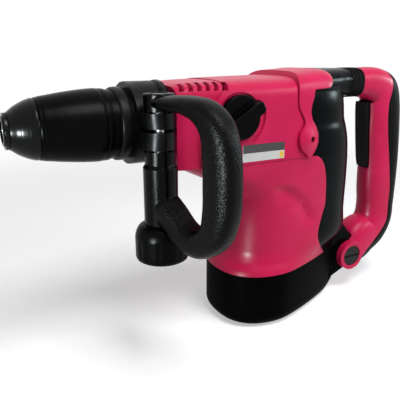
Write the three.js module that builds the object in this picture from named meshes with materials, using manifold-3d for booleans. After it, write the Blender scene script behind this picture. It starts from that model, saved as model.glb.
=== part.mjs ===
// Rotary hammer with a vertical motor, a toothed side handle and a sprung rear handle.
// Millimetres, +Z up, +X towards the tool bit, +Y to the operator's left.
// The origin is the middle of the standing face under the motor.
import * as THREE from 'three';
import { mergeVertices } from 'three/addons/utils/BufferGeometryUtils.js';
import Module from 'manifold-3d';

const wasm = await Module();
wasm.setup();

// Driving dimensions

const clearance = 0.3; // gap kept between neighbouring pieces
const overrun = 6; // how far a cut runs past the face it opens
const baseHeight = 59.5; // top edge of the base cap
const motorRise = 109.5; // underside of the gear plate above the base cap
const seamRise = 12.5; // parting line of the two housings above that underside
const headRoom = 40; // top of the gear housing above the hammer axis
const shoulderRise = 14; // where the roof starts to round, above the hammer axis
const housingWall = 3.2; // wall of the moulded housings
const housingFront = 120; // front face of the gear housing, ahead of the motor axis
const housingReach = 118; // furthest the rear boot reaches behind the motor axis
const housingHalfWidth = 48; // half width of the gear housing at its flank
const boreRadius = 9.3; // tool bore for an 18 mm shank

const base = { halfLength: 58, halfWidth: 52, squareness: 2.46, edgeRound: 14, floor: 4, bore: 41 };

const chuck = {
  tip: 259.5,
  capLength: 26.5,
  sleeveLength: 67.7,
  skirtLength: 8,
  ringRear: 156,
  ringFront: 166.5,
  ringRadius: 32.9,
  recessDepth: 8,
  holderRadius: 15,
  sleeveRadius: 32.2,
  skirtRadius: 30.7,
  skirtWall: 3.2,
};

const barrel = {
  front: 155.7,
  neckRear: 126.5,
  radius: 31,
  flangeRadius: 38,
  sleeveRear: 62,
  sleeveWall: 3.7,
  pocketRadius: 26,
  pocketRear: 128.5,
};

const tube = {
  rear: -12,
  front: 147.7,
  radius: 20,
  bore: 17.4,
  frontRadius: 17,
  frontLength: 30,
  guideBore: 11.4,
};
const piston = { rear: 18, length: 26, hollow: 14, floor: 8, pin: 3, pinAhead: 10 };
const ram = { rear: 62, length: 24, neckRadius: 8, neckLength: 8 };
const beatPiece = { rear: 104, length: 42, noseRadius: 8.6, noseLength: 12 };
const rod = { thickness: 12, barHalfWidth: 4.5, eyeRadius: 9, smallEyeRadius: 6.5 };

const gearing = {
  module: 2,
  pinionTeeth: 8,
  crankTeeth: 32,
  layTeeth: 24,
  bevelPinionTeeth: 7,
  bevelTeeth: 21,
};
const toothForm = { rise: 0.8, fall: 1.15, rootShare: 0.3, tipShare: 0.12 };
const bevelForm = { rise: 0.75, fall: 1.1, rootShare: 0.29, tipShare: 0.12 };
const crank = { throw: 13, shaftRadius: 6, discRadius: 19, pinRadius: 5 };
const bevel = { pitchRadius: 27, faceShare: 0.8, hubRadius: 24.4, hubLength: 8 };

const plate = { thickness: 6, bossDrop: 9, bossWall: 4 };

// Heights stack up from the gear plate through the gears and the crank disc to the axis
const stack = { lift: 7.3, layFace: 6.7, step: 0.5, crankFace: 7.5, discGap: 3, disc: 7, axisAbove: 15 };
const plateBottom = baseHeight + motorRise;
const layBottom = plateBottom + plate.thickness + stack.lift;
const layTop = layBottom + stack.layFace;
const crankBottom = layTop + stack.step;
const crankTop = crankBottom + stack.crankFace;
const pinionBottom = layBottom - stack.step;
const pinionTop = crankTop + stack.step;
const discBottom = crankTop + stack.discGap;
const discTop = discBottom + stack.disc;
const axisHeight = discTop + stack.axisAbove; // hammer axis above the standing face
const seamHeight = plateBottom + seamRise;
const housingTop = axisHeight + headRoom;
const shoulderHeight = axisHeight + shoulderRise;

const bearing = { shaftRadius: 5, radius: 13, height: 8 };
const motor = {
  shaftBottom: 8,
  lowerBearingBottom: 12,
  coreRadius: 22,
  coreInset: 4,
  windingRadius: 18.5,
  windingRise: 9,
  statorRadius: 40.5,
  statorLift: 10.5,
  statorDrop: 37,
  fanRadius: 36,
  fanDrop: 26,
  fanHeight: 13,
  fanBlades: 6,
  fanHub: 9,
  commutatorRadius: 14,
  commutatorHalf: 12,
};
const statorBottom = baseHeight + motor.statorLift;
const statorTop = plateBottom - motor.statorDrop;
const coreBottom = statorBottom + motor.coreInset;
const coreTop = statorTop - motor.coreInset;
const fanBottom = plateBottom - motor.fanDrop;
const brush = { width: 10, thickness: 6, length: 19, drop: 13.5 };
const brushHeight = baseHeight - brush.drop;
const commutatorBottom = brushHeight - motor.commutatorHalf;
const commutatorTop = brushHeight + motor.commutatorHalf;

const bolt = { ahead: 141, aside: 50, radius: 4, headRadius: 7.5, headHeight: 5 };
const clamp = {
  halfLength: 12.6,
  wall: 6,
  lugRadius: 13.2,
  split: 3,
  upperLugTop: 14,
  lowerLugBottom: -16,
  pinRadius: 2.5,
  knuckleRadius: 5.6,
  knuckleLength: 9,
};
const crown = { teeth: 10, height: 0.8 };
const loop = {
  swing: 15,
  eyeTop: 30,
  collarBottom: -29,
  tubeBottom: -82,
  tubeRadius: 15,
  gripReach: 74,
  gripDepth: 12.5,
};
const knob = { radius: 23.8, height: 34 };

const modeKnob = {
  ahead: 60,
  above: 5,
  radius: 20.5,
  dishRadius: 22.5,
  dishDepth: 1.8,
  discHeight: 6,
  barHeight: 9,
};
const modeLever = { halfWidth: 6.5, reach: 24, tiltShare: 0.16667, shaftRadius: 6, inward: 12 };
const vents = { count: 6, first: 113, pitch: 8.3, width: 3.6, height: 5.6, lean: 2.6, drop: 10.4 };
const ventBottom = housingTop - vents.drop;

const boss = {
  behindShare: 0.161017,
  rise: 18.5,
  halfLength: 10,
  halfHeight: 14,
  swell: 5.5,
  screwRadius: 3.2,
  screwDepth: 9,
};
const bossBehind = housingReach * boss.behindShare;
const bossHeight = seamHeight + boss.rise;

const boot = { rise: 30, halfWidth: 46.5, collarHalfHeight: 15.6, collarHalfWidth: 22, collarShort: 16 };
const bootTop = axisHeight + boot.rise;
const collarRear = housingReach - boot.collarShort;
const bellows = { ribs: 4, behind: 5, swell: 2.2, wall: 2.4, rise: 29 };
const bellowsRear = housingReach + bellows.behind;
const bellowsMiddle = axisHeight + bellows.rise;

const lug = { radius: 15.5, sink: 0.1, toe: 14, toeHeight: 6 };
const pivot = {
  beyond: 6.6,
  eyeRadius: 17.7,
  eyeHalfWidth: 22,
  forkHalfWidth: 14,
  pinRadius: 7,
  headRadius: 12.5,
};
const pivotBehind = housingReach + pivot.beyond;
const pivotHeight = baseHeight - lug.radius - lug.sink;
const handle = { halfWidth: 17, squareness: 2.6 };
const trigger = {
  above: 6,
  below: 72,
  halfWidth: 8,
  hingeShare: 1.268058,
  stubRadius: 2,
  stubLength: 3,
  depth: 2,
  swell: 1,
  play: 1,
};
const triggerTop = axisHeight + trigger.above;
const triggerBottom = axisHeight - trigger.below;
const hingeBehind = pivotBehind * trigger.hingeShare;
const triggerBack = hingeBehind + trigger.depth;

const screw = { radius: 2.5, headRadius: 4.2, headHeight: 3, length: 9 };

const chuckCap = { lip: 1.5, lipPlay: 0.6 };
const ringForm = {
  edge: 1.1,
  bead: 2.4,
  play: 0.4,
  hubWall: 6,
  hubRise: 6,
  springWire: 1.2,
  springTurns: 4,
};
const barrelForm = { bevel: 2, sealRear: 141 };
const tubeForm = { shoulder: 14, cone: 3 };
const plateForm = { boreWall: 3 };
const motorForm = { round: 3, web: 2, airGap: 0.8 };
const coil = { inner: 24.6, outer: 31, rise: 6, legWidth: 7.5, middleGap: 0.6 };
const brushForm = { ringBore: 34, halfHeight: 6.5, wall: 2, guideBore: 18 };

// Outer skins as shares: radius over the sleeve's radius, place along the piece's body
const sleeveShares = [
  [0.981, 0], [1, 0.15], [0.984, 0.32], [0.93, 0.6], [0.872, 0.82], [0.82, 0.985], [0.8, 1],
];
const capShares = [
  [0.8, 0], [0.812, 0.03], [0.775, 0.2], [0.69, 0.42], [0.59, 0.62], [0.495, 0.745],
  [0.475, 0.765], [0.4, 0.93], [0.36, 1],
];

const barrelInner = tube.radius + clearance;
const wallPoints = 24;
const windSteps = 8;
const roundSteps = [0, 0.34, 0.67, 1];
const ventForm = { near: 26 };
const grooveForm = { radius: 25, width: 4, depth: 2, from: 2.75, to: 4.15 };
const screwForm = { land: 0.8, recess: 22, turnShares: [0.127, 0.5, 0.873] };
const coverForm = { stretch: 1.05, screwBack: 5.5 };
const bootForm = { inset: 0.9, squareness: 2.8, frontSquareness: 3, backSquareness: 2.6 };
const bellowsForm = { widthShare: 0.86, heightShare: 0.9 };

// Motor wall rows: share of the height from base to seam, then reach ahead over the base's
// half length, reach behind over the housing's reach, half width over the base's, squareness
const wallShares = [
  [0, 1, 1, 1, 2.46, 1.2], [0.045, 0.965, 0.985, 0.962, 2.46, 1.3],
  [0.1, 0.87, 0.98, 0.9, 2.4, 1.6], [0.2, 0.785, 1.0, 0.86, 2.4, 2.2],
  [0.42, 0.76, 0.958, 0.85, 2.4, 2.6], [0.66, 0.81, 0.954, 0.87, 2.5, 2.6],
  [0.78, 1.07, 0.949, 0.885, 2.8, 2.6], [0.89, 1.52, 0.942, 0.9, 3.4, 2.6],
  [1, 2, 0.928, 0.918, 4, 2.6],
];
// Lines on the flank, as shares of the reach behind and of the seam or roof height
const motorEdgeShares = [
  [-0.669, 0.309], [-0.576, 0.366], [-0.492, 0.413], [-0.436, 0.464], [-0.419, 0.507],
  [-0.425, 0.556], [-0.458, 0.631], [-0.483, 0.694], [-0.475, 0.771], [-0.462, 0.843],
  [-0.424, 0.926], [-0.373, 0.975], [-0.322, 0.998],
];
const coverRearShares = [
  [-0.235, 0.7], [-0.268, 0.723], [-0.292, 0.757], [-0.271, 0.801], [-0.224, 0.827],
  [-0.193, 0.862], [-0.199, 0.895], [-0.218, 0.924], [-0.225, 0.946], [-0.246, 0.95],
  [-0.377, 0.952], [-0.424, 0.96], [-0.458, 0.979], [-0.483, 1.004],
];
const coverFrontShares = [
  [-0.178, 0.679], [-0.169, 0.725], [-0.165, 0.771], [-0.157, 0.817], [-0.119, 0.853],
  [-0.069, 0.882], [-0.054, 0.916], [-0.056, 0.954], [-0.068, 0.992], [-0.085, 1.031],
];
// Roof rows: place over the front face, half width and roof height over their full sizes
const noseShares = [
  [0.45, 0.905, 0.99], [0.85, 0.88, 0.985], [0.95, 0.86, 0.982], [1, 0.82, 0.976],
];
const flankShares = [
  [-0.22, 1, 0.998], [0.3, 1, 0.994], [0.6, 0.995, 0.991], [0.84, 0.97, 0.984],
];
const cavityShares = [
  [-0.3, 1, 0.998], [0.55, 0.98, 0.991], [0.62, 0.905, 0.989], [0.972, 0.86, 0.982],
];
const flankEdgeShares = [
  [-0.25, 0.6], [0.79, 0.6], [0.815, 0.72], [0.81, 0.82], [0.755, 0.9], [0.67, 0.94], [0.61, 0.966],
  [0.597, 1.05], [-0.25, 1.05],
];
const coverShares = [
  [0.02, 1.02, 1.0105], [-0.1, 1.03, 1.0145], [-0.24, 1.02, 1.0185], [-0.36, 1.0, 1.0225],
  [-0.43, 0.955, 1.021], [-0.475, 0.875, 1.0155], [-0.5, 0.79, 1.006],
];
// Boot rows above the seam: share of the height to its top, reach behind and half width
const bootShares = [
  [0.16, 0.919, 1], [0.34, 0.893, 0.97], [0.46, 0.871, 0.93], [0.72, 0.852, 0.9],
  [0.92, 0.83, 0.84], [1, 0.77, 0.74],
];
// Boot's tail: behind over the pivot's, rise over the base's height
const tailShares = [
  [0.75, 0], [1.02, 0], [1.026, 0.07], [1.01, 0.14], [0.96, 0.3], [0.9, 0.45], [0.75, 0.5],
];
const collarShares = [[0.55, 1.5, 1.06], [0.8, 1.2, 1.04], [0.94, 1, 1.02], [1, 0.95, 0.98]];

// Rear handle path: behind over the pivot's, height over the axis height, half thickness and
// half depth over the handle's half width
const handleShares = [
  [0.9848, 1.1284, 0.9, 1.088], [1.1075, 1.127, 1.018, 1.088], [1.2319, 1.1126, 1.165, 1.059],
  [1.3242, 1.0743, 1.412, 1.029], [1.3644, 0.9955, 1.5, 1.029], [1.3868, 0.8784, 1.553, 1.029],
  [1.4157, 0.7207, 1.535, 1.029], [1.4246, 0.5676, 1.518, 1.029], [1.4342, 0.4505, 1.412, 1.029],
  [1.4205, 0.3604, 1.429, 1.088], [1.3483, 0.2973, 1.412, 1.147], [1.2239, 0.2658, 1.529, 1.235],
  [1.1236, 0.2266, 1.412, 1.282], [1.0, 0.1977, 0.912, 1.294],
];
const handleBackShares = [
  [1.308, 1.198], [1.343, 1.161], [1.372, 1.126], [1.361, 1.07], [1.339, 1.014], [1.356, 0.894],
  [1.423, 0.707], [1.471, 0.559], [1.477, 0.468], [1.474, 0.378], [1.449, 0.338], [1.38, 0.293],
  [1.296, 0.25], [1.204, 0.204], [1.156, 0.167], [1.144, 0.09],
];
const handleForm = { headSink: 5, faceGap: 0.4, tailPlay: 2.4, slotDepth: 2, slotHalf: 1.2 };
const handleSpring = { radius: 8, wire: 1.3, turns: 4 };
const switchBox = {
  gap: 6,
  depth: 16,
  halfWidth: 8.5,
  below: 54,
  topDrop: 7,
  plunger: 2.5,
  plungerReach: 2.5,
};
const switchFront = triggerBack + switchBox.gap;
const switchBack = switchFront + switchBox.depth;
const switchBottom = axisHeight - switchBox.below;
const switchTop = axisHeight - switchBox.topDrop;
const inletForm = {
  behindShare: 1.42055,
  rise: 36.1,
  turn: 0.67,
  inner: 5,
  outer: 8.5,
  from: 13,
  length: 10.5,
};
const inletBehind = pivotBehind * inletForm.behindShare;
const inletHeight = pivotHeight + inletForm.rise;
// Trigger's front edge: behind over its hinge's, height over its top
const triggerShares = [
  [0.88, 1.0], [0.878, 0.965], [0.899, 0.84], [0.926, 0.711], [0.946, 0.658],
];
const leverForm = {
  points: 16,
  squareness: 5,
  edge: 1.2,
  draftShare: 0.7,
  waistShare: 0.93,
  topShare: 0.84,
};

// Side handle path in shares: reach, height over the eye's top, half thickness, half depth
const loopShares = [
  [0, 0.75, 0.5, 0.98],
  [0.22, 0.77, 0.48, 1.02],
  [0.52, 0.755, 0.6, 1.04],
  [0.77, 0.6, 0.82, 1.04],
  [0.94, 0.2, 1.08, 1.02],
  [1, -0.45, 1.24, 1],
  [1.013, -1.2, 1.28, 1],
  [1, -1.93, 1.24, 1],
  [0.92, -2.54, 1.08, 1.02],
  [0.7, -2.93, 0.96, 1.04],
  [0.45, -2.83, 0.98, 1.04],
  [0.2, -2.4, 1.06, 1.04],
  [0, -2.05, 1.04, 1.04],
];
const loopSquareness = 2.5;
const loopForm = { step: 3, headDepth: 6, boltShort: 6, knobPlay: 2 };
const knobShares = [[0.66, 0], [0.84, 0.06], [0.97, 0.24], [1, 0.36], [1, 0.86], [0.95, 0.955], [0.8, 1]];

// Finishes

const crimson = { color: 0xd2265c, roughness: 0.42, metalness: 0 };
const blackPlastic = { color: 0x14171a, roughness: 0.45, metalness: 0 };
const blackRubber = { color: 0x191b1d, roughness: 0.75, metalness: 0 };
const steel = { color: 0xa9adb2, roughness: 0.3, metalness: 1 };
const darkSteel = { color: 0x3b3e42, roughness: 0.4, metalness: 1 };
const blackAlloy = { color: 0x15171a, roughness: 0.5, metalness: 0.4 };
const castAlloy = { color: 0x8d9094, roughness: 0.55, metalness: 1 };
const copper = { color: 0xb06a3a, roughness: 0.45, metalness: 1 };
const carbon = { color: 0x232323, roughness: 0.8, metalness: 0 };

// Solid building

function signedVolume(positions, triangles) {
  const a = new THREE.Vector3();
  const b = new THREE.Vector3();
  const c = new THREE.Vector3();
  let total = 0;
  for (let i = 0; i < triangles.length; i += 3) {
    a.fromArray(positions, 3 * triangles[i]);
    b.fromArray(positions, 3 * triangles[i + 1]);
    c.fromArray(positions, 3 * triangles[i + 2]);
    total += a.dot(b.cross(c));
  }
  return total;
}

// Turns a closed three.js geometry into a solid whose faces point out
function solid(geometry) {
  const bare = geometry.clone();
  bare.deleteAttribute('normal');
  bare.deleteAttribute('uv');
  const merged = mergeVertices(bare);
  const positions = merged.attributes.position.array;
  const source = merged.index.array;
  const kept = [];
  for (let i = 0; i < source.length; i += 3) {
    const [p, q, r] = [source[i], source[i + 1], source[i + 2]];
    if (p !== q && q !== r && p !== r) kept.push(p, q, r);
  }
  if (signedVolume(positions, kept) < 0) {
    for (let i = 0; i < kept.length; i += 3) {
      [kept[i], kept[i + 1]] = [kept[i + 1], kept[i]];
    }
  }
  const mesh = new wasm.Mesh({
    numProp: 3,
    vertProperties: new Float32Array(positions),
    triVerts: new Uint32Array(kept),
  });
  return new wasm.Manifold(mesh);
}

function join(first, ...others) {
  return others.reduce((sum, other) => sum.add(other), first);
}

function cut(body, ...tools) {
  return tools.reduce((rest, tool) => rest.subtract(tool), body);
}

function part(name, shape, finish) {
  const data = shape.getMesh();
  const geometry = new THREE.BufferGeometry();
  geometry.setAttribute('position', new THREE.BufferAttribute(new Float32Array(data.vertProperties), 3));
  geometry.setIndex(new THREE.BufferAttribute(new Uint32Array(data.triVerts), 1));
  geometry.computeVertexNormals();
  const mesh = new THREE.Mesh(geometry, new THREE.MeshStandardMaterial(finish));
  mesh.name = name;
  return mesh;
}

function place(geometry, x, y, z) {
  geometry.translate(x, y, z);
  return geometry;
}

// Revolved solids: a profile is a list of [radius, distance along the axis]
function turned(profile, segments) {
  return new THREE.LatheGeometry(profile.map(([r, a]) => new THREE.Vector2(r, a)), segments);
}

function turnedX(profile, segments = 16) {
  return solid(turned(profile, segments).rotateZ(-Math.PI / 2));
}

function turnedXAt(profile, height, segments) {
  return solid(place(turned(profile, segments).rotateZ(-Math.PI / 2), 0, 0, height));
}

function turnedY(profile, x, z, segments = 16) {
  return solid(place(turned(profile, segments), x, 0, z));
}

function turnedZ(profile, x, y, segments = 16) {
  return solid(place(turned(profile, segments).rotateX(Math.PI / 2), x, y, 0));
}

function rodProfile(radius, from, to) {
  return [[0, from], [radius, from], [radius, to], [0, to]];
}

function pipeProfile(inner, outer, from, to) {
  return [[inner, from], [outer, from], [outer, to], [inner, to], [inner, from]];
}

function block(x0, x1, y0, y1, z0, z1) {
  const box = new THREE.BoxGeometry(x1 - x0, y1 - y0, z1 - z0);
  return solid(place(box, (x0 + x1) / 2, (y0 + y1) / 2, (z0 + z1) / 2));
}

function outline(points) {
  return new THREE.Shape(points.map(([a, b]) => new THREE.Vector2(a, b)));
}

// Side profiles, drawn in X and Z, pushed along Y
function slabY(points, from, to) {
  const geometry = new THREE.ExtrudeGeometry(outline(points), { depth: to - from, bevelEnabled: false });
  return solid(place(geometry.rotateX(Math.PI / 2), 0, to, 0));
}

// Plans, drawn in X and Y, pushed along Z
function slabZ(points, from, to) {
  const geometry = new THREE.ExtrudeGeometry(outline(points), { depth: to - from, bevelEnabled: false });
  return solid(place(geometry, 0, 0, from));
}

// A loft through rings of equal count, closed by a fan at each end
function loft(rings) {
  const count = rings[0].length;
  const points = rings.flat();
  const triangles = [];
  for (let k = 0; k + 1 < rings.length; k += 1) {
    for (let i = 0; i < count; i += 1) {
      const next = (i + 1) % count;
      const [a, b, c, d] = [k * count + i, k * count + next, (k + 1) * count + i, (k + 1) * count + next];
      triangles.push(a, b, d, a, d, c);
    }
  }
  const ends = [
    [rings[0], 0, true],
    [rings.at(-1), (rings.length - 1) * count, false],
  ];
  for (const [ring, start, flip] of ends) {
    const middle = new THREE.Vector3();
    ring.forEach((point) => middle.add(point));
    const hub = points.push(middle.divideScalar(count)) - 1;
    for (let i = 0; i < count; i += 1) {
      const [a, b] = [start + i, start + ((i + 1) % count)];
      triangles.push(hub, flip ? b : a, flip ? a : b);
    }
  }
  const geometry = new THREE.BufferGeometry().setFromPoints(points);
  geometry.setIndex(triangles);
  return solid(geometry);
}

function superpower(value, squareness) {
  return Math.sign(value) * Math.abs(value) ** (2 / squareness);
}

// A plan ring at one height; the half ahead of the motor axis and the half behind it
// have their own reach and squareness
function planRing(height, ahead, behind, aside, squareAhead, squareBehind, count) {
  return Array.from({ length: count }, (_, i) => {
    const turn = (2 * Math.PI * i) / count;
    const forward = Math.cos(turn) > 0;
    const squareness = forward ? squareAhead : squareBehind;
    return new THREE.Vector3(
      (forward ? ahead : behind) * superpower(Math.cos(turn), squareness),
      aside * superpower(Math.sin(turn), squareness),
      height,
    );
  });
}

// A cross-section ring at one station: flat foot, upright flanks and a domed roof
function archRing(station, halfWidth, foot, shoulder, top, squareness, steps) {
  const ring = [new THREE.Vector3(station, halfWidth, foot)];
  for (let i = 0; i <= steps; i += 1) {
    const turn = (Math.PI * i) / steps;
    const across = halfWidth * superpower(Math.cos(turn), squareness);
    const up = shoulder + (top - shoulder) * superpower(Math.sin(turn), squareness);
    ring.push(new THREE.Vector3(station, across, up));
  }
  ring.push(new THREE.Vector3(station, -halfWidth, foot));
  return ring;
}

// An upright oval ring square to X
function ovalRing(station, height, halfWidth, halfHeight, squareness, count) {
  return Array.from({ length: count }, (_, i) => {
    const turn = (2 * Math.PI * i) / count;
    return new THREE.Vector3(
      station,
      halfWidth * superpower(Math.cos(turn), squareness),
      height + halfHeight * superpower(Math.sin(turn), squareness),
    );
  });
}

// A bar swept along a path that stays in one upright plane; each stop is
// [along, up, half thickness in the plane, half depth across it]
function sweptBar(stops, squareness, steps, count) {
  const path = new THREE.CatmullRomCurve3(
    stops.map(([a, b]) => new THREE.Vector3(a, 0, b)),
    false,
    'centripetal',
  );
  const sizes = new THREE.CatmullRomCurve3(
    stops.map(([, , h, d]) => new THREE.Vector3(h, d, 0)),
    false,
    'catmullrom',
  );
  const rings = [];
  for (let k = 0; k <= steps; k += 1) {
    const share = k / steps;
    const centre = path.getPoint(share);
    const heading = path.getTangent(share);
    const size = sizes.getPoint(share);
    rings.push(Array.from({ length: count }, (_, i) => {
      const turn = (2 * Math.PI * i) / count;
      const across = size.x * superpower(Math.cos(turn), squareness);
      const deep = size.y * superpower(Math.sin(turn), squareness);
      return new THREE.Vector3(centre.x - across * heading.z, deep, centre.z + across * heading.x);
    }));
  }
  return loft(rings);
}

// A smooth line through hand-picked points
function smooth(points, steps) {
  const curve = new THREE.SplineCurve(points.map(([a, b]) => new THREE.Vector2(a, b)));
  return curve.getPoints(steps).map((point) => [point.x, point.y]);
}

function arc(radius, from, to, steps) {
  return Array.from({ length: steps + 1 }, (_, i) => {
    const turn = from + ((to - from) * i) / steps;
    return [radius * Math.cos(turn), radius * Math.sin(turn)];
  });
}

function shifted(points, a, b) {
  return points.map(([p, q]) => [p + a, q + b]);
}

// A line moved sideways, to the right of its own direction
function offsetLine(points, distance) {
  return points.map(([a, b], i) => {
    const [fromA, fromB] = points[Math.max(0, i - 1)];
    const [toA, toB] = points[Math.min(points.length - 1, i + 1)];
    const run = Math.hypot(toA - fromA, toB - fromB);
    return [a + (distance * (toB - fromB)) / run, b - (distance * (toA - fromA)) / run];
  });
}

// Spur gear outline with four points a tooth; phase is in pitches
function gearOutline(teeth, phase) {
  const pitchRadius = (gearing.module * teeth) / 2;
  const tip = pitchRadius + toothForm.rise * gearing.module;
  const root = pitchRadius - toothForm.fall * gearing.module;
  const pitch = (2 * Math.PI) / teeth;
  const points = [];
  for (let i = 0; i < teeth; i += 1) {
    for (const [radius, share] of [
      [root, -toothForm.rootShare],
      [tip, -toothForm.tipShare],
      [tip, toothForm.tipShare],
      [root, toothForm.rootShare],
    ]) {
      const turn = (i + phase + share) * pitch;
      points.push([radius * Math.cos(turn), radius * Math.sin(turn)]);
    }
  }
  return points;
}

function spurGear(teeth, phase, bore, bottom, top) {
  const blank = slabZ(gearOutline(teeth, phase), bottom, top);
  return cut(blank, turnedZ(rodProfile(bore, bottom - overrun, top + overrun), 0, 0, 12));
}

// Bevel gear ring of tooth points at one share of the cone's length.
// Returns [radius, distance from the cone's point, turn] for each point.
function bevelRing(teeth, pitchRadius, coneDepth, phase, scale) {
  const slant = Math.atan2(pitchRadius, coneDepth);
  const module = (2 * bevel.pitchRadius) / gearing.bevelTeeth;
  const pitch = (2 * Math.PI) / teeth;
  const points = [];
  for (let i = 0; i < teeth; i += 1) {
    for (const [lift, share] of [
      [-bevelForm.fall, -bevelForm.rootShare],
      [bevelForm.rise, -bevelForm.tipShare],
      [bevelForm.rise, bevelForm.tipShare],
      [-bevelForm.fall, bevelForm.rootShare],
    ]) {
      const rise = lift * module;
      points.push([
        scale * (pitchRadius + rise * Math.cos(slant)),
        scale * (coneDepth - rise * Math.sin(slant)),
        (i + phase + share) * pitch,
      ]);
    }
  }
  return points;
}

// Rotating chuck, drawn about the hammer axis

const holderRear = tube.front + clearance;
const sleeveFront = chuck.tip - chuck.capLength - clearance;
const sleeveRear = sleeveFront - chuck.sleeveLength;
const recessFloor = chuck.ringFront - chuck.recessDepth;
const roller = { radius: 3.4, length: 15, centre: 12, rear: 208, play: 0.3 };
const land = { play: 0.7, wall: 4, rear: 200, front: 228, web: 4 };
const landBore = chuck.holderRadius + land.play;

function toolHolder() {
  const front = chuck.tip - chuckCap.lip - clearance;
  const step = chuck.ringRear - clearance;
  const body = turnedX([
    [boreRadius, holderRear],
    [tube.frontRadius, holderRear],
    [tube.frontRadius, step],
    [chuck.holderRadius, step],
    [chuck.holderRadius, front],
    [boreRadius, front],
    [boreRadius, holderRear],
  ]);
  const half = roller.radius + roller.play;
  const from = roller.rear - roller.play;
  const to = roller.rear + roller.length + roller.play;
  const slots = [1, -1].map((side) => {
    const inner = side * (boreRadius - overrun / 2);
    const outer = side * (chuck.holderRadius + overrun);
    return block(from, to, -half, half, Math.min(inner, outer), Math.max(inner, outer));
  });
  return cut(body, ...slots);
}

function lockingRoller(side) {
  const rollerBar = turned(rodProfile(roller.radius, roller.rear, roller.rear + roller.length), 12);
  return solid(place(rollerBar.rotateZ(-Math.PI / 2), 0, 0, side * roller.centre));
}

function holderRing() {
  const outer = chuck.ringRadius;
  const inner = chuck.skirtRadius + ringForm.play;
  return turnedX([
    [chuck.holderRadius + clearance, chuck.ringRear],
    [outer - ringForm.edge, chuck.ringRear],
    [outer, chuck.ringRear + ringForm.bead],
    [outer, chuck.ringFront - ringForm.bead],
    [outer - ringForm.edge, chuck.ringFront],
    [inner, chuck.ringFront],
    [inner, recessFloor],
    [chuck.holderRadius + ringForm.hubWall, recessFloor],
    [chuck.holderRadius + ringForm.hubWall, recessFloor + ringForm.hubRise],
    [chuck.holderRadius + clearance, recessFloor + ringForm.hubRise],
    [chuck.holderRadius + clearance, chuck.ringRear],
  ], 20);
}

function lockingSleeve() {
  const body = sleeveFront - sleeveRear - chuck.skirtLength;
  const bodyRear = sleeveRear + chuck.skirtLength;
  const skin = sleeveShares.map(([r, a]) => [chuck.sleeveRadius * r, bodyRear + body * a]);
  const cavity = chuck.skirtRadius - chuck.skirtWall;
  const mouth = chuck.sleeveRadius * sleeveShares.at(-1)[0] - chuck.skirtWall;
  return turnedX([
    [chuck.skirtRadius, sleeveRear],
    [chuck.skirtRadius, bodyRear],
    ...skin,
    [mouth, sleeveFront],
    [mouth, land.rear + land.web],
    [landBore + land.wall, land.rear + land.web],
    [landBore + land.wall, land.front],
    [landBore, land.front],
    [landBore, land.rear],
    [cavity, land.rear],
    [cavity, sleeveRear],
    [chuck.skirtRadius, sleeveRear],
  ], 20);
}

function sleeveSpring() {
  const radius = chuck.holderRadius / Math.cos(Math.PI / windSteps) + ringForm.springWire + clearance;
  const rear = recessFloor + ringForm.hubRise + clearance;
  return woundSpring(radius, ringForm.springWire, rear, land.rear - clearance, ringForm.springTurns, 4);
}

function dustCap() {
  const rear = chuck.tip - chuck.capLength;
  const skin = capShares.map(([r, a]) => [chuck.sleeveRadius * r, rear + chuck.capLength * a]);
  const lipRear = chuck.tip - chuckCap.lip;
  return turnedX([
    [chuck.holderRadius + clearance, rear],
    ...skin,
    [boreRadius + chuckCap.lipPlay, chuck.tip],
    [boreRadius + chuckCap.lipPlay, lipRear],
    [chuck.holderRadius + clearance, lipRear],
    [chuck.holderRadius + clearance, rear],
  ], 20);
}

// Fixed barrel and its seals

function barrelBody() {
  const inner = tube.radius + clearance;
  const flangeRear = housingFront + clearance;
  return turnedX([
    [inner, barrel.sleeveRear],
    [inner + barrel.sleeveWall, barrel.sleeveRear],
    [inner + barrel.sleeveWall, flangeRear],
    [barrel.flangeRadius, flangeRear],
    [barrel.flangeRadius, barrel.neckRear - barrelForm.bevel],
    [barrel.flangeRadius - barrelForm.bevel, barrel.neckRear],
    [barrel.radius, barrel.neckRear],
    [barrel.radius, barrel.front],
    [barrel.pocketRadius, barrel.front],
    [barrel.pocketRadius, barrel.pocketRear],
    [inner, barrel.pocketRear],
    [inner, barrel.sleeveRear],
  ], 20);
}

function pocketRing(from, to) {
  return turnedX(pipeProfile(tube.frontRadius + clearance, barrel.pocketRadius - clearance, from, to), 20);
}

// Striking train

function hammerTube() {
  const step = tube.front - tube.frontLength;
  const guideRear = step - tubeForm.shoulder;
  return turnedX([
    [tube.bore, tube.rear],
    [tube.radius, tube.rear],
    [tube.radius, step],
    [tube.frontRadius, step],
    [tube.frontRadius, tube.front],
    [tube.guideBore, tube.front],
    [tube.guideBore, guideRear],
    [tube.bore, guideRear - tubeForm.cone],
    [tube.bore, tube.rear],
  ]);
}

const pistonRadius = tube.bore - 2 * clearance;
const pinAhead = piston.rear + piston.pinAhead;

function hammerPiston() {
  const front = piston.rear + piston.length;
  const cup = turnedX([
    [0, front],
    [pistonRadius, front],
    [pistonRadius, piston.rear],
    [piston.hollow, piston.rear],
    [piston.hollow, front - piston.floor],
    [0, front - piston.floor],
  ]);
  return cut(cup, turnedZ(rodProfile(piston.pin + clearance, -tube.radius, tube.radius), pinAhead, 0, 12));
}

function wristPin() {
  const reach = Math.sqrt(pistonRadius ** 2 - piston.pin ** 2) - clearance;
  return turnedZ(rodProfile(piston.pin, -reach, reach), pinAhead, 0, 12);
}

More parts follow.
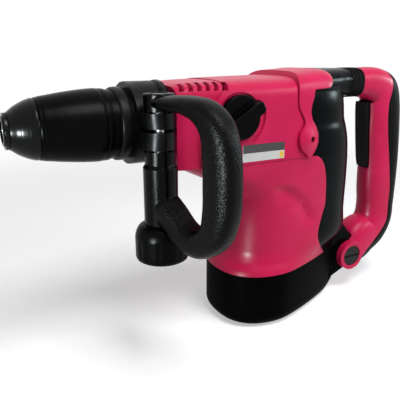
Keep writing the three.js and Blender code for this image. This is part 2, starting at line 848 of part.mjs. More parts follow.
function connectingRod() {
  const half = rod.thickness / 2;
  const far = crankAhead + crank.throw;
  const smallReach = Math.sqrt(rod.smallEyeRadius ** 2 - rod.barHalfWidth ** 2) / 2;
  const bigEye = turnedZ(rodProfile(rod.eyeRadius, -half, half), far, 0, 16);
  const smallEye = turnedZ(rodProfile(rod.smallEyeRadius, -half, half), pinAhead, 0, 12);
  const bar = block(
    far + smallReach,
    pinAhead - smallReach,
    -rod.barHalfWidth,
    rod.barHalfWidth,
    -half,
    half,
  );
  const bores = [
    turnedZ(rodProfile(crank.pinRadius + clearance, -half - overrun, half + overrun), far, 0, 12),
    turnedZ(rodProfile(piston.pin + clearance, -half - overrun, half + overrun), pinAhead, 0, 12),
  ];
  return cut(join(bigEye, smallEye, bar), ...bores);
}

function strikingRam() {
  const front = ram.rear + ram.length;
  return turnedX([
    [0, ram.rear],
    [pistonRadius, ram.rear],
    [pistonRadius, front],
    [ram.neckRadius, front],
    [ram.neckRadius, front + ram.neckLength],
    [0, front + ram.neckLength],
  ]);
}

function beatPieceBody() {
  const radius = tube.guideBore - clearance;
  const front = beatPiece.rear + beatPiece.length;
  const step = front - beatPiece.noseLength;
  return turnedX([
    [0, beatPiece.rear],
    [radius, beatPiece.rear],
    [radius, step],
    [beatPiece.noseRadius, step + radius - beatPiece.noseRadius],
    [beatPiece.noseRadius, front],
    [0, front],
  ], 20);
}

// Gears

const pinionRadius = (gearing.module * gearing.pinionTeeth) / 2;
const crankAhead = -(pinionRadius + (gearing.module * gearing.crankTeeth) / 2);
const layAhead = pinionRadius + (gearing.module * gearing.layTeeth) / 2;
const bevelRatio = gearing.bevelTeeth / gearing.bevelPinionTeeth;
const bevelPinionRadius = bevel.pitchRadius / bevelRatio;

function bevelWheel() {
  const toothed = [bevel.faceShare, 1].map((scale) => bevelRing(
    gearing.bevelTeeth,
    bevel.pitchRadius,
    bevelPinionRadius,
    0.5,
    scale,
  ));
  const back = bevelPinionRadius + bevel.hubLength;
  const hub = toothed[1].map(([, , turn]) => [bevel.hubRadius, back, turn]);
  const rings = [...toothed, hub].map((ring) => ring.map(([radius, depth, turn]) => new THREE.Vector3(
    layAhead + depth,
    radius * Math.sin(turn),
    -radius * Math.cos(turn),
  )));
  const bore = rodProfile(tube.radius + clearance, 0, layAhead + back + overrun);
  return cut(loft(rings), turnedX(bore, 16));
}

// Lay shaft with its bevel pinion, about its own upright axis, heights above the standing face
function layShaft() {
  const rings = [1, bevel.faceShare].map((scale) => bevelRing(
    gearing.bevelPinionTeeth,
    bevelPinionRadius,
    bevel.pitchRadius,
    0,
    scale,
  ).map(([radius, depth, turn]) => new THREE.Vector3(
    radius * Math.cos(turn),
    radius * Math.sin(turn),
    axisHeight - depth,
  )));
  const seat = axisHeight - bevel.pitchRadius + clearance;
  const shaft = turnedZ(rodProfile(bearing.shaftRadius, plateBottom, seat), 0, 0, 12);
  return join(loft(rings), shaft);
}

function crankShaft() {
  const pinTop = axisHeight - rod.thickness / 2 - clearance;
  const shaft = turnedZ(rodProfile(crank.shaftRadius, plateBottom, discBottom + clearance), 0, 0, 12);
  const disc = turnedZ(rodProfile(crank.discRadius, discBottom, discTop), 0, 0, 20);
  const pin = turnedZ(rodProfile(crank.pinRadius, discTop - clearance, pinTop), crank.throw, 0, 12);
  return join(shaft, disc, pin);
}

function armatureShaft() {
  const shaft = turnedZ(
    rodProfile(bearing.shaftRadius, motor.shaftBottom, pinionBottom + clearance),
    0,
    0,
    12,
  );
  const pinion = slabZ(gearOutline(gearing.pinionTeeth, 0), pinionBottom, pinionTop);
  return join(shaft, pinion);
}

// Laminated core, its winding and the commutator that the winding is soldered to
function armatureCore() {
  const inner = bearing.shaftRadius + clearance;
  const risers = motor.commutatorRadius + motorForm.round;
  const windingBottom = coreBottom - motor.windingRise;
  return turnedZ([
    [inner, commutatorBottom],
    [motor.commutatorRadius, commutatorBottom],
    [motor.commutatorRadius, commutatorTop],
    [risers, commutatorTop],
    [risers, windingBottom],
    [motor.windingRadius, windingBottom + motorForm.round],
    [motor.windingRadius, coreBottom],
    [motor.coreRadius, coreBottom],
    [motor.coreRadius, coreTop],
    [motor.windingRadius, coreTop],
    [motor.windingRadius, coreTop + motor.windingRise - motorForm.round],
    [motor.windingRadius - motorForm.round, coreTop + motor.windingRise],
    [inner, coreTop + motor.windingRise],
    [inner, commutatorBottom],
  ], 0, 0, 14);
}

function coolingFan() {
  const inner = bearing.shaftRadius + clearance;
  const top = fanBottom + motor.fanHeight;
  const hub = turnedZ(pipeProfile(inner, motor.fanHub, fanBottom, top), 0, 0, 12);
  const disc = turnedZ(pipeProfile(inner, motor.fanRadius, fanBottom, fanBottom + motorForm.web), 0, 0, 16);
  const blades = Array.from({ length: motor.fanBlades }, (_, i) => {
    const blade = new THREE.BoxGeometry(
      motor.fanRadius - motor.fanHub,
      motorForm.web,
      motor.fanHeight - clearance,
    );
    place(blade, (motor.fanRadius + motor.fanHub) / 2 - clearance, 0, (fanBottom + top) / 2);
    return solid(blade.rotateZ((2 * Math.PI * i) / motor.fanBlades));
  });
  return join(hub, disc, ...blades);
}

function statorCore() {
  const bore = motor.coreRadius + motorForm.airGap;
  const ring = turnedZ(pipeProfile(bore, motor.statorRadius, statorBottom, statorTop), 0, 0, 18);
  const reach = coil.outer + clearance;
  const half = coil.legWidth + coil.middleGap + clearance;
  return cut(ring, block(-reach, reach, -half, half, statorBottom - overrun, statorTop + overrun));
}

// One field coil: two upright legs joined by an arc above and below the core
function fieldCoil(side) {
  const low = statorBottom - coil.rise;
  const high = statorTop + coil.rise;
  const arcShape = [
    ...arc(coil.outer, 0, Math.PI, 7),
    ...arc(coil.inner, Math.PI, 0, 7),
  ].map(([x, y]) => [x, side * (y + coil.middleGap)]);
  const near = side * coil.middleGap;
  const far = side * (coil.middleGap + coil.legWidth);
  const ends = [
    slabZ(arcShape, low, statorBottom - clearance),
    slabZ(arcShape, statorTop + clearance, high),
  ];
  const legs = [[coil.inner, coil.outer], [-coil.outer, -coil.inner]].map(([from, to]) => block(
    from,
    to,
    Math.min(near, far),
    Math.max(near, far),
    low + clearance,
    high - clearance,
  ));
  return join(...ends, ...legs);
}

function brushHolder() {
  const ring = turnedZ(pipeProfile(
    brushForm.ringBore,
    base.bore - clearance,
    brushHeight - brushForm.halfHeight,
    brushHeight + brushForm.halfHeight,
  ), 0, 0, 16);
  const half = brush.width / 2 + brushForm.wall;
  const tall = brush.thickness / 2 + brushForm.wall;
  const reach = base.bore - clearance * 2 - brushForm.wall;
  const box = block(-reach, reach, -half, half, brushHeight - tall, brushHeight + tall);
  const middle = turnedZ(rodProfile(brushForm.guideBore, 0, baseHeight + overrun), 0, 0, 16);
  const guides = cut(box, middle);
  const slotHalf = brush.width / 2 + clearance;
  const slotTall = brush.thickness / 2 + clearance;
  const slotReach = motor.commutatorRadius + brush.length + clearance * 2;
  const slot = block(
    -slotReach,
    slotReach,
    -slotHalf,
    slotHalf,
    brushHeight - slotTall,
    brushHeight + slotTall,
  );
  return cut(join(ring, guides), slot);
}

function carbonBrush(side) {
  const near = side * (motor.commutatorRadius + clearance);
  const far = side * (motor.commutatorRadius + clearance + brush.length);
  return block(
    Math.min(near, far),
    Math.max(near, far),
    -brush.width / 2,
    brush.width / 2,
    brushHeight - brush.thickness / 2,
    brushHeight + brush.thickness / 2,
  );
}

// Side handle clamp, drawn about the hammer axis

const clampBore = barrel.radius + clearance;
const clampRadius = clampBore + clamp.wall;
const knuckleAside = -(clampRadius + clamp.knuckleRadius - clamp.wall / 2);

// A revolved upright piece whose end face carries a ring of teeth
function crownedZ(profile, toothed, height, x, y) {
  const segments = 2 * crown.teeth;
  const geometry = turned(profile, segments);
  const points = geometry.attributes.position;
  for (let i = 0; i <= segments; i += 2) {
    for (const j of toothed) {
      const k = i * profile.length + j;
      points.setY(k, points.getY(k) + height);
    }
  }
  return solid(place(geometry.rotateX(Math.PI / 2), x, y, 0));
}

function knuckle(from, to, radius) {
  return solid(place(turned(rodProfile(radius, from, to), 12).rotateZ(-Math.PI / 2), 0, knuckleAside, 0));
}

// One clamp half; side is 1 for the upper half and -1 for the lower half
function clampHalf(side) {
  const split = (side * clamp.split) / 2;
  const lugEnd = side > 0 ? clamp.upperLugTop : clamp.lowerLugBottom;
  const rear = bolt.ahead - clamp.halfLength;
  const front = bolt.ahead + clamp.halfLength;
  const outer = side * (clampRadius + overrun);
  const band = turnedX(rodProfile(clampRadius, rear, front), 24);
  const keep = block(
    rear - overrun,
    front + overrun,
    knuckleAside - overrun * 2,
    bolt.aside + overrun * 4,
    Math.min(split, outer),
    Math.max(split, outer),
  );
  const lug = crownedZ(
    rodProfile(clamp.lugRadius, split, lugEnd),
    [2],
    side * crown.height,
    bolt.ahead,
    bolt.aside,
  );
  const web = block(
    rear,
    front,
    clampBore,
    bolt.aside,
    Math.min(split, lugEnd - side * crown.height),
    Math.max(split, lugEnd - side * crown.height),
  );
  const mid = clamp.knuckleLength / 2;
  const ownRuns = side > 0 ? [[-mid, mid]] : [
    [-clamp.halfLength, -mid - clearance], [mid + clearance, clamp.halfLength],
  ];
  const otherRuns = side > 0 ? [[-clamp.halfLength, -mid], [mid, clamp.halfLength]] : [[
    -mid - clearance,
    mid + clearance,
  ]];
  const ears = ownRuns.map(([a, b]) => knuckle(bolt.ahead + a, bolt.ahead + b, clamp.knuckleRadius));
  const spaces = otherRuns.map(([a, b]) => knuckle(
    bolt.ahead + a - (a < -mid ? overrun : 0),
    bolt.ahead + b + (b > mid ? overrun : 0),
    clamp.knuckleRadius + clearance,
  ));
  const bores = [
    turnedX(rodProfile(clampBore, rear - overrun, front + overrun), 24),
    turnedZ(
      rodProfile(bolt.radius + clearance, -clampRadius - overrun, clampRadius + overrun),
      bolt.ahead,
      bolt.aside,
      12,
    ),
    knuckle(rear - overrun, front + overrun, clamp.pinRadius + clearance),
  ];
  const half = band.intersect(keep);
  return cut(join(cut(half, ...spaces), lug, web, ...ears), ...bores);
}

function clampPin() {
  return knuckle(bolt.ahead - clamp.halfLength, bolt.ahead + clamp.halfLength, clamp.pinRadius);
}

// Side handle, drawn about the clamp bolt with X along its arms and Z from the hammer axis
const crownRun = 2 * crown.height + clearance;
const eyeBottom = clamp.upperLugTop + crownRun;
const collarTop = clamp.lowerLugBottom - crownRun;

function sideHandle() {
  const bar = sweptBar(loopShares.map(([a, b, h, d]) => [
    loop.gripReach * a,
    loop.eyeTop * b,
    loop.gripDepth * h,
    loop.gripDepth * d,
  ]), loopSquareness, 19, 12);
  const eye = crownedZ(rodProfile(clamp.lugRadius, loop.eyeTop, eyeBottom), [2], -crown.height, 0, 0);
  const collar = crownedZ(
    rodProfile(clamp.lugRadius, loop.collarBottom, collarTop),
    [2],
    crown.height,
    0,
    0,
  );
  const foot = turnedZ([
    [0, loop.collarBottom + clearance],
    [clamp.lugRadius, loop.collarBottom + clearance],
    [loop.tubeRadius, loop.collarBottom - loopForm.step],
    [loop.tubeRadius, loop.tubeBottom],
    [0, loop.tubeBottom],
  ], 0, 0, 20);
  const clear = turnedZ(
    rodProfile(clamp.lugRadius + overrun, collarTop + crown.height * 2, eyeBottom - crown.height * 2),
    0,
    0,
    20,
  );
  const under = loop.tubeBottom - knob.height - overrun;
  const knobSpace = turnedZ(rodProfile(knob.radius + loopForm.knobPlay, under, loop.tubeBottom), 0, 0, 20);
  const head = turnedZ(
    rodProfile(bolt.headRadius + clearance, loop.eyeTop - loopForm.headDepth, loop.eyeTop + overrun),
    0,
    0,
    14,
  );
  const bore = turnedZ(
    rodProfile(bolt.radius + clearance, loop.tubeBottom - overrun, loop.eyeTop + overrun),
    0,
    0,
    12,
  );
  return cut(join(bar, eye, collar, foot), clear, knobSpace, head, bore);
}

function clampBolt() {
  const seat = loop.eyeTop - loopForm.headDepth + clearance;
  const end = loop.tubeBottom - knob.height + loopForm.boltShort;
  const shank = turnedZ(rodProfile(bolt.radius, end, seat + clearance), 0, 0, 16);
  const head = turnedZ(rodProfile(bolt.headRadius, seat, seat + bolt.headHeight), 0, 0, 6);
  return join(shank, head);
}

function clampKnob() {
  const top = loop.tubeBottom - clearance;
  const bottom = top - knob.height;
  const skin = knobShares.map(([r, h]) => [knob.radius * r, top - knob.height * h]);
  const body = turnedZ([[0, top], ...skin, [0, bottom]], 0, 0, 24);
  const bore = turnedZ(
    rodProfile(bolt.radius + clearance, bottom + loopForm.boltShort - clearance, top + overrun),
    0,
    0,
    16,
  );
  return cut(body, bore);
}

// Moulded housings

const clip = 2 * axisHeight; // further than anything on the tool reaches

// The motor wall's sizes at any height, between the rows of shares
function wallAt(height, inset, count = wallPoints) {
  const share = (height - baseHeight) / (seamHeight - baseHeight);
  const last = wallShares.length - 1;
  const found = wallShares.findIndex((row) => row[0] >= share);
  const high = found < 1 ? (share <= 0 ? 1 : last) : found;
  const [low, up] = [wallShares[high - 1], wallShares[high]];
  const mix = Math.min(1, Math.max(0, (share - low[0]) / (up[0] - low[0])));
  const row = low.map((value, i) => value + (up[i] - value) * mix);
  return planRing(
    height,
    base.halfLength * row[1] - inset,
    housingReach * row[2] - inset,
    base.halfWidth * row[3] - inset,
    row[4],
    row[5],
    count,
  );
}

function wallHeights(from, to) {
  const rows = wallShares.map((row) => baseHeight + (seamHeight - baseHeight) * row[0]);
  return [from, ...rows.filter((height) => height > from + clearance && height < to - clearance), to];
}

function edgeLine(shares, length, height, steps) {
  return smooth(shares.map(([a, b]) => [length * a, height * b]), steps);
}

const farUp = housingTop + clip;
const coverRearCurve = edgeLine(coverRearShares, housingReach, housingTop, 15);
const coverRearEdge = [...coverRearCurve, [coverRearCurve.at(-1)[0], farUp]];
const motorEdge = [...edgeLine(motorEdgeShares, housingReach, seamHeight, 12), coverRearEdge[0]];
const coverFrontEdge = edgeLine(coverFrontShares, housingReach, housingTop, 9);
const farAhead = housingFront + overrun;
const farBehind = -housingReach - clip;
const farDown = -overrun;

function motorRegion() {
  const edge = offsetLine(motorEdge, clearance / 2);
  return [
    ...edge,
    [edge.at(-1)[0], farUp],
    [farAhead + clip, farUp],
    [farAhead + clip, farDown],
    [edge[0][0], farDown],
  ];
}

function bootRegion() {
  const edge = offsetLine([...motorEdge, ...coverRearEdge.slice(1)], -clearance / 2);
  return [...edge, [farBehind, farUp], [farBehind, farDown], [edge[0][0], farDown]];
}

function coverRegion() {
  const front = offsetLine(coverFrontEdge, -clearance / 2);
  const rear = offsetLine(coverRearEdge, clearance / 2);
  return [...front, [front.at(-1)[0], farUp], ...rear.reverse()];
}

function gearRegion() {
  const edge = offsetLine(coverFrontEdge, clearance / 2);
  return [...edge, [farAhead, edge.at(-1)[1]], [farAhead, farDown], [edge[0][0], farDown]];
}

function across(points) {
  return slabY(points, -clip, clip);
}

function roofRings(rows, foot, inset, squareness, steps) {
  return rows.map(([a, w, t]) => archRing(
    housingFront * a,
    housingHalfWidth * w - inset,
    foot,
    shoulderHeight,
    housingTop * t - inset,
    squareness,
    steps,
  ));
}

function bothSides(make) {
  return [1, -1].map((side) => make(side));
}

// A round hole or rod along Y between two distances from the middle, on one side
function sideRod(side, radius, near, far, x, z, segments) {
  return turnedY(
    rodProfile(radius, Math.min(side * near, side * far), Math.max(side * near, side * far)),
    x,
    z,
    segments,
  );
}

function ventSlots(side) {
  return Array.from({ length: vents.count }, (_, i) => {
    const x = vents.first - vents.pitch * i;
    const slot = [
      [x, ventBottom],
      [x + vents.width, ventBottom],
      [x + vents.width - vents.lean, ventBottom + vents.height],
      [x - vents.lean, ventBottom + vents.height],
    ];
    const near = side * ventForm.near;
    const far = side * (housingHalfWidth + overrun);
    return slabY(slot, Math.min(near, far), Math.max(near, far));
  });
}

function leverGroove() {
  const outer = arc(grooveForm.radius + grooveForm.width, grooveForm.from, grooveForm.to, 8);
  const inner = arc(grooveForm.radius, grooveForm.to, grooveForm.from, 8);
  const band = shifted([...outer, ...inner], modeKnob.ahead, axisHeight + modeKnob.above);
  return slabY(band, housingHalfWidth - grooveForm.depth, housingHalfWidth + overrun);
}

function bearingRing(bottom) {
  return turnedZ(
    pipeProfile(bearing.shaftRadius + clearance, bearing.radius, bottom, bottom + bearing.height),
    0,
    0,
    14,
  );
}

function gearHousingWhole() {
  const foot = seamHeight + clearance;
  const nose = loft(roofRings(noseShares, foot, 0, 5, 12));
  const flank = loft(roofRings(flankShares, foot, 0, 4, 12));
  const panel = flankEdgeShares.map(([a, b]) => [housingFront * a, housingTop * b]);
  const outer = join(nose, flank.intersect(across(panel)));
  const cavity = loft(roofRings(cavityShares, foot - overrun, housingWall, 4, 7));
  const spigot = barrelInner + barrel.sleeveWall + clearance;
  const mouth = turnedXAt(
    rodProfile(spigot, housingFront - overrun - housingWall, housingFront + overrun),
    axisHeight,
    20,
  );
  const knobX = modeKnob.ahead;
  const knobZ = axisHeight + modeKnob.above;
  const dish = sideRod(
    1,
    modeKnob.dishRadius,
    housingHalfWidth - modeKnob.dishDepth,
    housingHalfWidth + overrun,
    knobX,
    knobZ,
    24,
  );
  const shaft = sideRod(
    1,
    modeLever.shaftRadius + clearance,
    0,
    housingHalfWidth + overrun,
    knobX,
    knobZ,
    12,
  );
  const slots = bothSides(ventSlots).flat();
  const shell = cut(outer, cavity, mouth, dish, shaft, leverGroove(), ...slots);
  return shell.intersect(across(gearRegion()));
}

// Keeps one side of the middle plane, half a clearance off it
function sideHalf(body, side) {
  const near = (side * clearance) / 2;
  const far = side * clip;
  return body.intersect(block(
    farBehind,
    farAhead + clip,
    Math.min(near, far),
    Math.max(near, far),
    farDown,
    farUp,
  ));
}

function motorHousing() {
  const outer = loft(wallHeights(baseHeight + clearance, seamHeight).map((height) => wallAt(height, 0)));
  const ledge = plateBottom - clearance;
  const bore = turnedZ(
    rodProfile(motor.statorRadius + clearance, baseHeight - overrun, ledge + clearance),
    0,
    0,
    28,
  );
  const cavity = loft([ledge, seamHeight, seamHeight + overrun].map((height) => wallAt(
    height,
    housingWall,
    20,
  )));
  const holes = screwPlaces().map(([x, y]) => turnedZ(
    rodProfile(screw.radius, baseHeight - overrun, screwTop() + clearance),
    x,
    y,
    8,
  ));
  return cut(outer, bore, cavity, ...holes).intersect(across(motorRegion()));
}

function gearPlate() {
  const top = plateBottom + plate.thickness;
  const sheet = loft([plateBottom, top].map((height) => wallAt(height, housingWall + clearance, 20)));
  const hubRadius = crank.shaftRadius + plate.bossWall;
  const tongue = block(
    crankAhead - hubRadius,
    0,
    -2 * hubRadius,
    2 * hubRadius,
    plateBottom - overrun,
    top + overrun,
  );
  const keep = join(across(motorRegion()), tongue);
  const pocketOuter = bearing.radius + clearance + plate.bossWall;
  const pocketBottom = plateBottom - plate.bossDrop;
  const pocket = turnedZ(
    pipeProfile(bearing.radius + clearance, pocketOuter, pocketBottom, plateBottom + clearance),
    0,
    0,
    14,
  );
  const crankHub = turnedZ(
    rodProfile(hubRadius, top - clearance, crankBottom - clearance),
    crankAhead,
    0,
    14,
  );
  const layHub = turnedZ(
    rodProfile(bearing.shaftRadius + plate.bossWall, top - clearance, layBottom - clearance),
    layAhead,
    0,
    14,
  );
  const bores = [
    turnedZ(rodProfile(bearing.shaftRadius + plateForm.boreWall, pocketBottom, top + overrun), 0, 0, 12),
    turnedZ(
      rodProfile(crank.shaftRadius + clearance, pocketBottom, crankBottom + overrun),
      crankAhead,
      0,
      12,
    ),
    turnedZ(rodProfile(bearing.shaftRadius + clearance, pocketBottom, layBottom + overrun), layAhead, 0, 12),
  ];
  return cut(join(sheet.intersect(keep), pocket, crankHub, layHub), ...bores);
}

function screwPlaces() {
  const ring = base.bore + screw.headRadius + screwForm.land;
  return screwForm.turnShares.map((share) => {
    const turn = 2 * Math.PI * share;
    return [ring * Math.cos(turn), ring * Math.sin(turn)];
  });
}

function screwTop() {
  return baseHeight + screw.length;
}

function baseCap() {
  const rings = roundSteps.map((share) => {
    const turn = (Math.PI / 2) * share;
    const inset = base.edgeRound * (1 - Math.sin(turn));
    return planRing(
      base.edgeRound * (1 - Math.cos(turn)),
      base.halfLength - inset,
      housingReach - inset,
      base.halfWidth - inset,
      base.squareness,
      wallShares[0][5],
      wallPoints,
    );
  });
  rings.push(planRing(
    baseHeight,
    base.halfLength,
    housingReach,
    base.halfWidth,
    base.squareness,
    wallShares[0][5],
    wallPoints,
  ));
  const tail = [
    [-base.halfLength, baseHeight],
    [-pivotBehind, pivotHeight + lug.radius - clearance],
    [-pivotBehind, pivotHeight - lug.radius + clearance],
    [-base.halfLength - lug.toe, lug.toeHeight],
    [-base.halfLength, lug.toeHeight],
  ];
  const lugHalf = pivot.forkHalfWidth - clearance;
  const web = slabY(tail, -lugHalf, lugHalf);
  const eye = turnedY(rodProfile(lug.radius, -lugHalf, lugHalf), -pivotBehind, pivotHeight, 24);
  const under = across([
    [-base.halfLength - lug.toe, farDown],
    [-base.halfLength - lug.toe, 0],
    [-pivotBehind - lug.radius, pivotHeight - lug.radius],
    [-pivotBehind - clip, pivotHeight - lug.radius],
    [-pivotBehind - clip, farDown],
  ]);
  const well = turnedZ(rodProfile(base.bore, base.floor, baseHeight + overrun), 0, 0, 28);
  const seat = bearing.radius + clearance;
  const boss = turnedZ([
    [bearing.shaftRadius + plateForm.boreWall, base.floor - clearance],
    [seat + plate.bossWall, base.floor - clearance],
    [seat + plate.bossWall, motor.lowerBearingBottom + bearing.height],
    [seat, motor.lowerBearingBottom + bearing.height],
    [seat, motor.lowerBearingBottom - clearance],
    [bearing.shaftRadius + plateForm.boreWall, motor.lowerBearingBottom - clearance],
    [bearing.shaftRadius + plateForm.boreWall, base.floor - clearance],
  ], 0, 0, 14);
  const pinHole = turnedY(
    rodProfile(pivot.pinRadius + clearance, -clip, clip),
    -pivotBehind,
    pivotHeight,
    12,
  );
  const holes = screwPlaces().flatMap(([x, y]) => [
    turnedZ(rodProfile(screw.headRadius + clearance, -overrun, screwForm.recess), x, y, 12),
    turnedZ(rodProfile(screw.radius, 0, baseHeight + overrun), x, y, 8),
  ]);
  const body = cut(join(loft(rings), web), under);
  return cut(join(cut(body, well), eye, boss), pinHole, ...holes);
}

function baseScrew(x, y) {
  const seat = screwForm.recess - clearance;
  const head = turnedZ(rodProfile(screw.headRadius, seat - screw.headHeight, seat), x, y, 12);
  const shank = turnedZ(rodProfile(screw.radius - clearance, seat - clearance, screwTop()), x, y, 8);
  return join(head, shank);
}

function rearCover() {
  const foot = seamHeight + clearance;
  const outer = loft(roofRings(coverShares, foot, 0, 4, 10));
  const inner = loft(roofRings(
    coverShares.map(([a, w, t]) => [a * coverForm.stretch, w, t]),
    foot - overrun,
    housingWall,
    4,
    7,
  ));
  const shell = cut(outer, inner).intersect(across(coverRegion()));
  const knobs = bothSides((side) => {
    const ball = new THREE.SphereGeometry(1, 12, 8).scale(boss.halfLength, boss.swell, boss.halfHeight);
    const bump = solid(place(ball, -bossBehind, side * housingHalfWidth, bossHeight));
    const near = side * (housingHalfWidth + clearance);
    const far = side * clip;
    return bump.intersect(block(-clip, clip, Math.min(near, far), Math.max(near, far), farDown, farUp));
  });
  const holes = bothSides((side) => sideRod(
    side,
    boss.screwRadius,
    0,
    housingHalfWidth + overrun * 2,
    -bossBehind - coverForm.screwBack,
    bossHeight,
    10,
  ));
  return cut(join(shell, ...knobs), ...holes);
}

function coverScrew(side) {
  const outer = housingHalfWidth + boss.swell / 4;
  return sideRod(
    side,
    boss.screwRadius - clearance,
    outer - boss.screwDepth,
    outer,
    -bossBehind - coverForm.screwBack,
    bossHeight,
    10,
  );
}

function bootRings(inset, from, to, count = wallPoints) {
  const low = wallHeights(baseHeight + clearance, seamHeight).map((height) => wallAt(height, inset, count));
  const high = bootShares.map(([h, b, w]) => planRing(
    seamHeight + (bootTop - seamHeight) * h,
    base.halfLength - inset,
    housingReach * b - inset,
    boot.halfWidth * w - inset,
    bootForm.frontSquareness,
    bootForm.backSquareness,
    count,
  ));
  return [...low, ...high].filter((ring) => ring[0].z >= from && ring[0].z <= to);
}

// Side profile of the boot's tail over the lug; play widens it for the fork's slot
function bootTail(play) {
  const foot = baseHeight + clearance - play;
  return tailShares.map(([a, b]) => [
    -pivotBehind * a - play,
    foot + baseHeight * b + (b > 0 ? 2 * play : 0),
  ]);
}

function rearBoot() {
  const skin = loft(bootRings(bootForm.inset, 0, farUp));
  const collar = loft(collarShares.map(([a, w, h]) => ovalRing(
    -collarRear * a,
    bellowsMiddle,
    boot.collarHalfWidth * w,
    boot.collarHalfHeight * h,
    bootForm.squareness,
    16,
  )));
  const hollow = bootRings(
    bootForm.inset + housingWall,
    baseHeight + housingWall,
    bootTop - housingWall,
    12,
  );
  const cavity = loft(hollow.filter((_, i) => i % 2 === 0 || i === hollow.length - 1));
  const tail = slabY(bootTail(0), clearance - pivot.forkHalfWidth, pivot.forkHalfWidth - clearance);
  return cut(join(skin, collar, tail), cavity).intersect(across(bootRegion()));
}

function handleBellows() {
  const front = -(collarRear + clearance);
  const rear = -(bellowsRear);
  const steps = 2 * bellows.ribs + 2;
  const stations = Array.from({ length: steps + 1 }, (_, i) => {
    const share = i / steps;
    const swell = i % 2 === 0 || i === steps ? 0 : bellows.swell;
    return [front + (rear - front) * share, swell];
  });
  const rings = (offset, swells) => stations.map(([x, swell]) => ovalRing(
    x,
    bellowsMiddle,
    boot.collarHalfWidth * bellowsForm.widthShare + swell * swells - offset,
    boot.collarHalfHeight * bellowsForm.heightShare + swell * swells - offset,
    bootForm.squareness,
    16,
  ));
  const inner = rings(bellows.wall, 0);
  const bore = [inner[0], inner.at(-1)].map((ring, i) => ring.map((point) => {
    const moved = point.clone();
    moved.x += i === 0 ? overrun : -overrun;
    return moved;
  }));
  return cut(loft(rings(0, 1)), loft(bore));
}

// Sprung rear handle

const pivotAhead = -pivotBehind;
const handleBackEdge = edgeLine(handleBackShares, -pivotBehind, axisHeight, 15);

function handleBlank() {
  const bar = sweptBar(handleShares.map(([a, b, h, d]) => [
    pivotAhead * a,
    axisHeight * b,
    handle.halfWidth * h,
    handle.halfWidth * d,
  ]), handle.squareness, 17, 12);
  const eye = turnedY(
    rodProfile(pivot.eyeRadius, -pivot.eyeHalfWidth, pivot.eyeHalfWidth),
    pivotAhead,
    pivotHeight,
    20,
  );
  const fork = pivot.forkHalfWidth;
  const swept = lug.radius + clearance * 3;
  const slot = turnedY(rodProfile(swept, -fork, fork), pivotAhead, pivotHeight, 20);
  const mouth = slabY(bootTail(handleForm.tailPlay), -fork, fork);
  const front = block(pivotAhead, 0, -fork, fork, 0, baseHeight);
  const headNear = pivot.eyeHalfWidth - handleForm.headSink;
  const heads = bothSides((side) => sideRod(
    side,
    pivot.headRadius + clearance,
    headNear,
    clip,
    pivotAhead,
    pivotHeight,
    16,
  ));
  const bore = turnedY(rodProfile(pivot.pinRadius + clearance, -clip, clip), pivotAhead, pivotHeight, 12);
  const flat = block(
    -bellowsRear - handleForm.faceGap,
    clip,
    -clip,
    clip,
    pivotHeight + pivot.eyeRadius * 2,
    farUp,
  );
  const inlet = inletRod(inletForm.outer + clearance, inletForm.from - clearance, inletForm.from + clip);
  return cut(
    join(bar, eye),
    slot,
    mouth,
    front,
    ...heads,
    bore,
    flat,
    switchSpace(),
    triggerSlot(),
    ...triggerHoles(),
    inlet,
  );
}

function handleFrontRegion() {
  const edge = offsetLine(handleBackEdge, -clearance / 2);
  return [...edge, [0, farDown], [0, farUp], [edge[0][0], farUp]];
}

function handleBackRegion() {
  const edge = offsetLine(handleBackEdge, clearance / 2);
  return [...edge, [edge.at(-1)[0], farDown], [farBehind, farDown], [farBehind, farUp], [edge[0][0], farUp]];
}

function switchSpace() {
  const half = switchBox.halfWidth + clearance;
  return block(
    -switchBack - clearance,
    -switchFront + clearance,
    -half,
    half,
    switchBottom - clearance,
    switchTop + clearance,
  );
}

function switchBody() {
  const box = block(
    -switchBack,
    -switchFront,
    -switchBox.halfWidth,
    switchBox.halfWidth,
    switchBottom,
    switchTop,
  );
  const middle = (switchBottom + switchTop) / 2;
  const plunger = turned(rodProfile(switchBox.plunger, 0, switchBox.plungerReach + clearance), 12);
  const stem = place(plunger.rotateZ(-Math.PI / 2), -switchFront - clearance, 0, middle);
  return join(box, solid(stem));
}

function triggerSlot() {
  const half = trigger.halfWidth + clearance;
  return block(
    -switchFront - clearance,
    0,
    -half,
    half,
    triggerBottom - trigger.play,
    triggerTop + trigger.play,
  );
}

function triggerHoles() {
  const reach = trigger.halfWidth + trigger.stubLength + clearance;
  return [turnedY(rodProfile(trigger.stubRadius + clearance, -reach, reach), -hingeBehind, axisHeight, 12)];
}

function triggerBody() {
  const front = smooth(triggerShares.map(([a, b]) => [-hingeBehind * a, triggerTop * b]), 10);
  const back = [[-triggerBack, triggerBottom], [-triggerBack - trigger.swell, triggerTop]];
  const blade = slabY([...front, ...back], -trigger.halfWidth, trigger.halfWidth);
  const reach = trigger.halfWidth + trigger.stubLength;
  const stubs = turnedY(rodProfile(trigger.stubRadius, -reach, reach), -hingeBehind, axisHeight, 12);
  return join(blade, stubs);
}

function pivotPin() {
  const near = pivot.eyeHalfWidth - handleForm.headSink + clearance;
  const far = pivot.eyeHalfWidth - clearance;
  const shank = turnedY(
    rodProfile(pivot.pinRadius, -near - clearance, near + clearance),
    pivotAhead,
    pivotHeight,
    12,
  );
  const heads = bothSides((side) => {
    const head = sideRod(side, pivot.headRadius, near, far, pivotAhead, pivotHeight, 20);
    const slot = block(
      pivotAhead - pivot.headRadius,
      pivotAhead + pivot.headRadius,
      Math.min(side * (far - handleForm.slotDepth), side * (far + overrun)),
      Math.max(side * (far - handleForm.slotDepth), side * (far + overrun)),
      pivotHeight - handleForm.slotHalf,
      pivotHeight + handleForm.slotHalf,
    );
    return cut(head, slot);
  });
  return join(shank, ...heads);
}

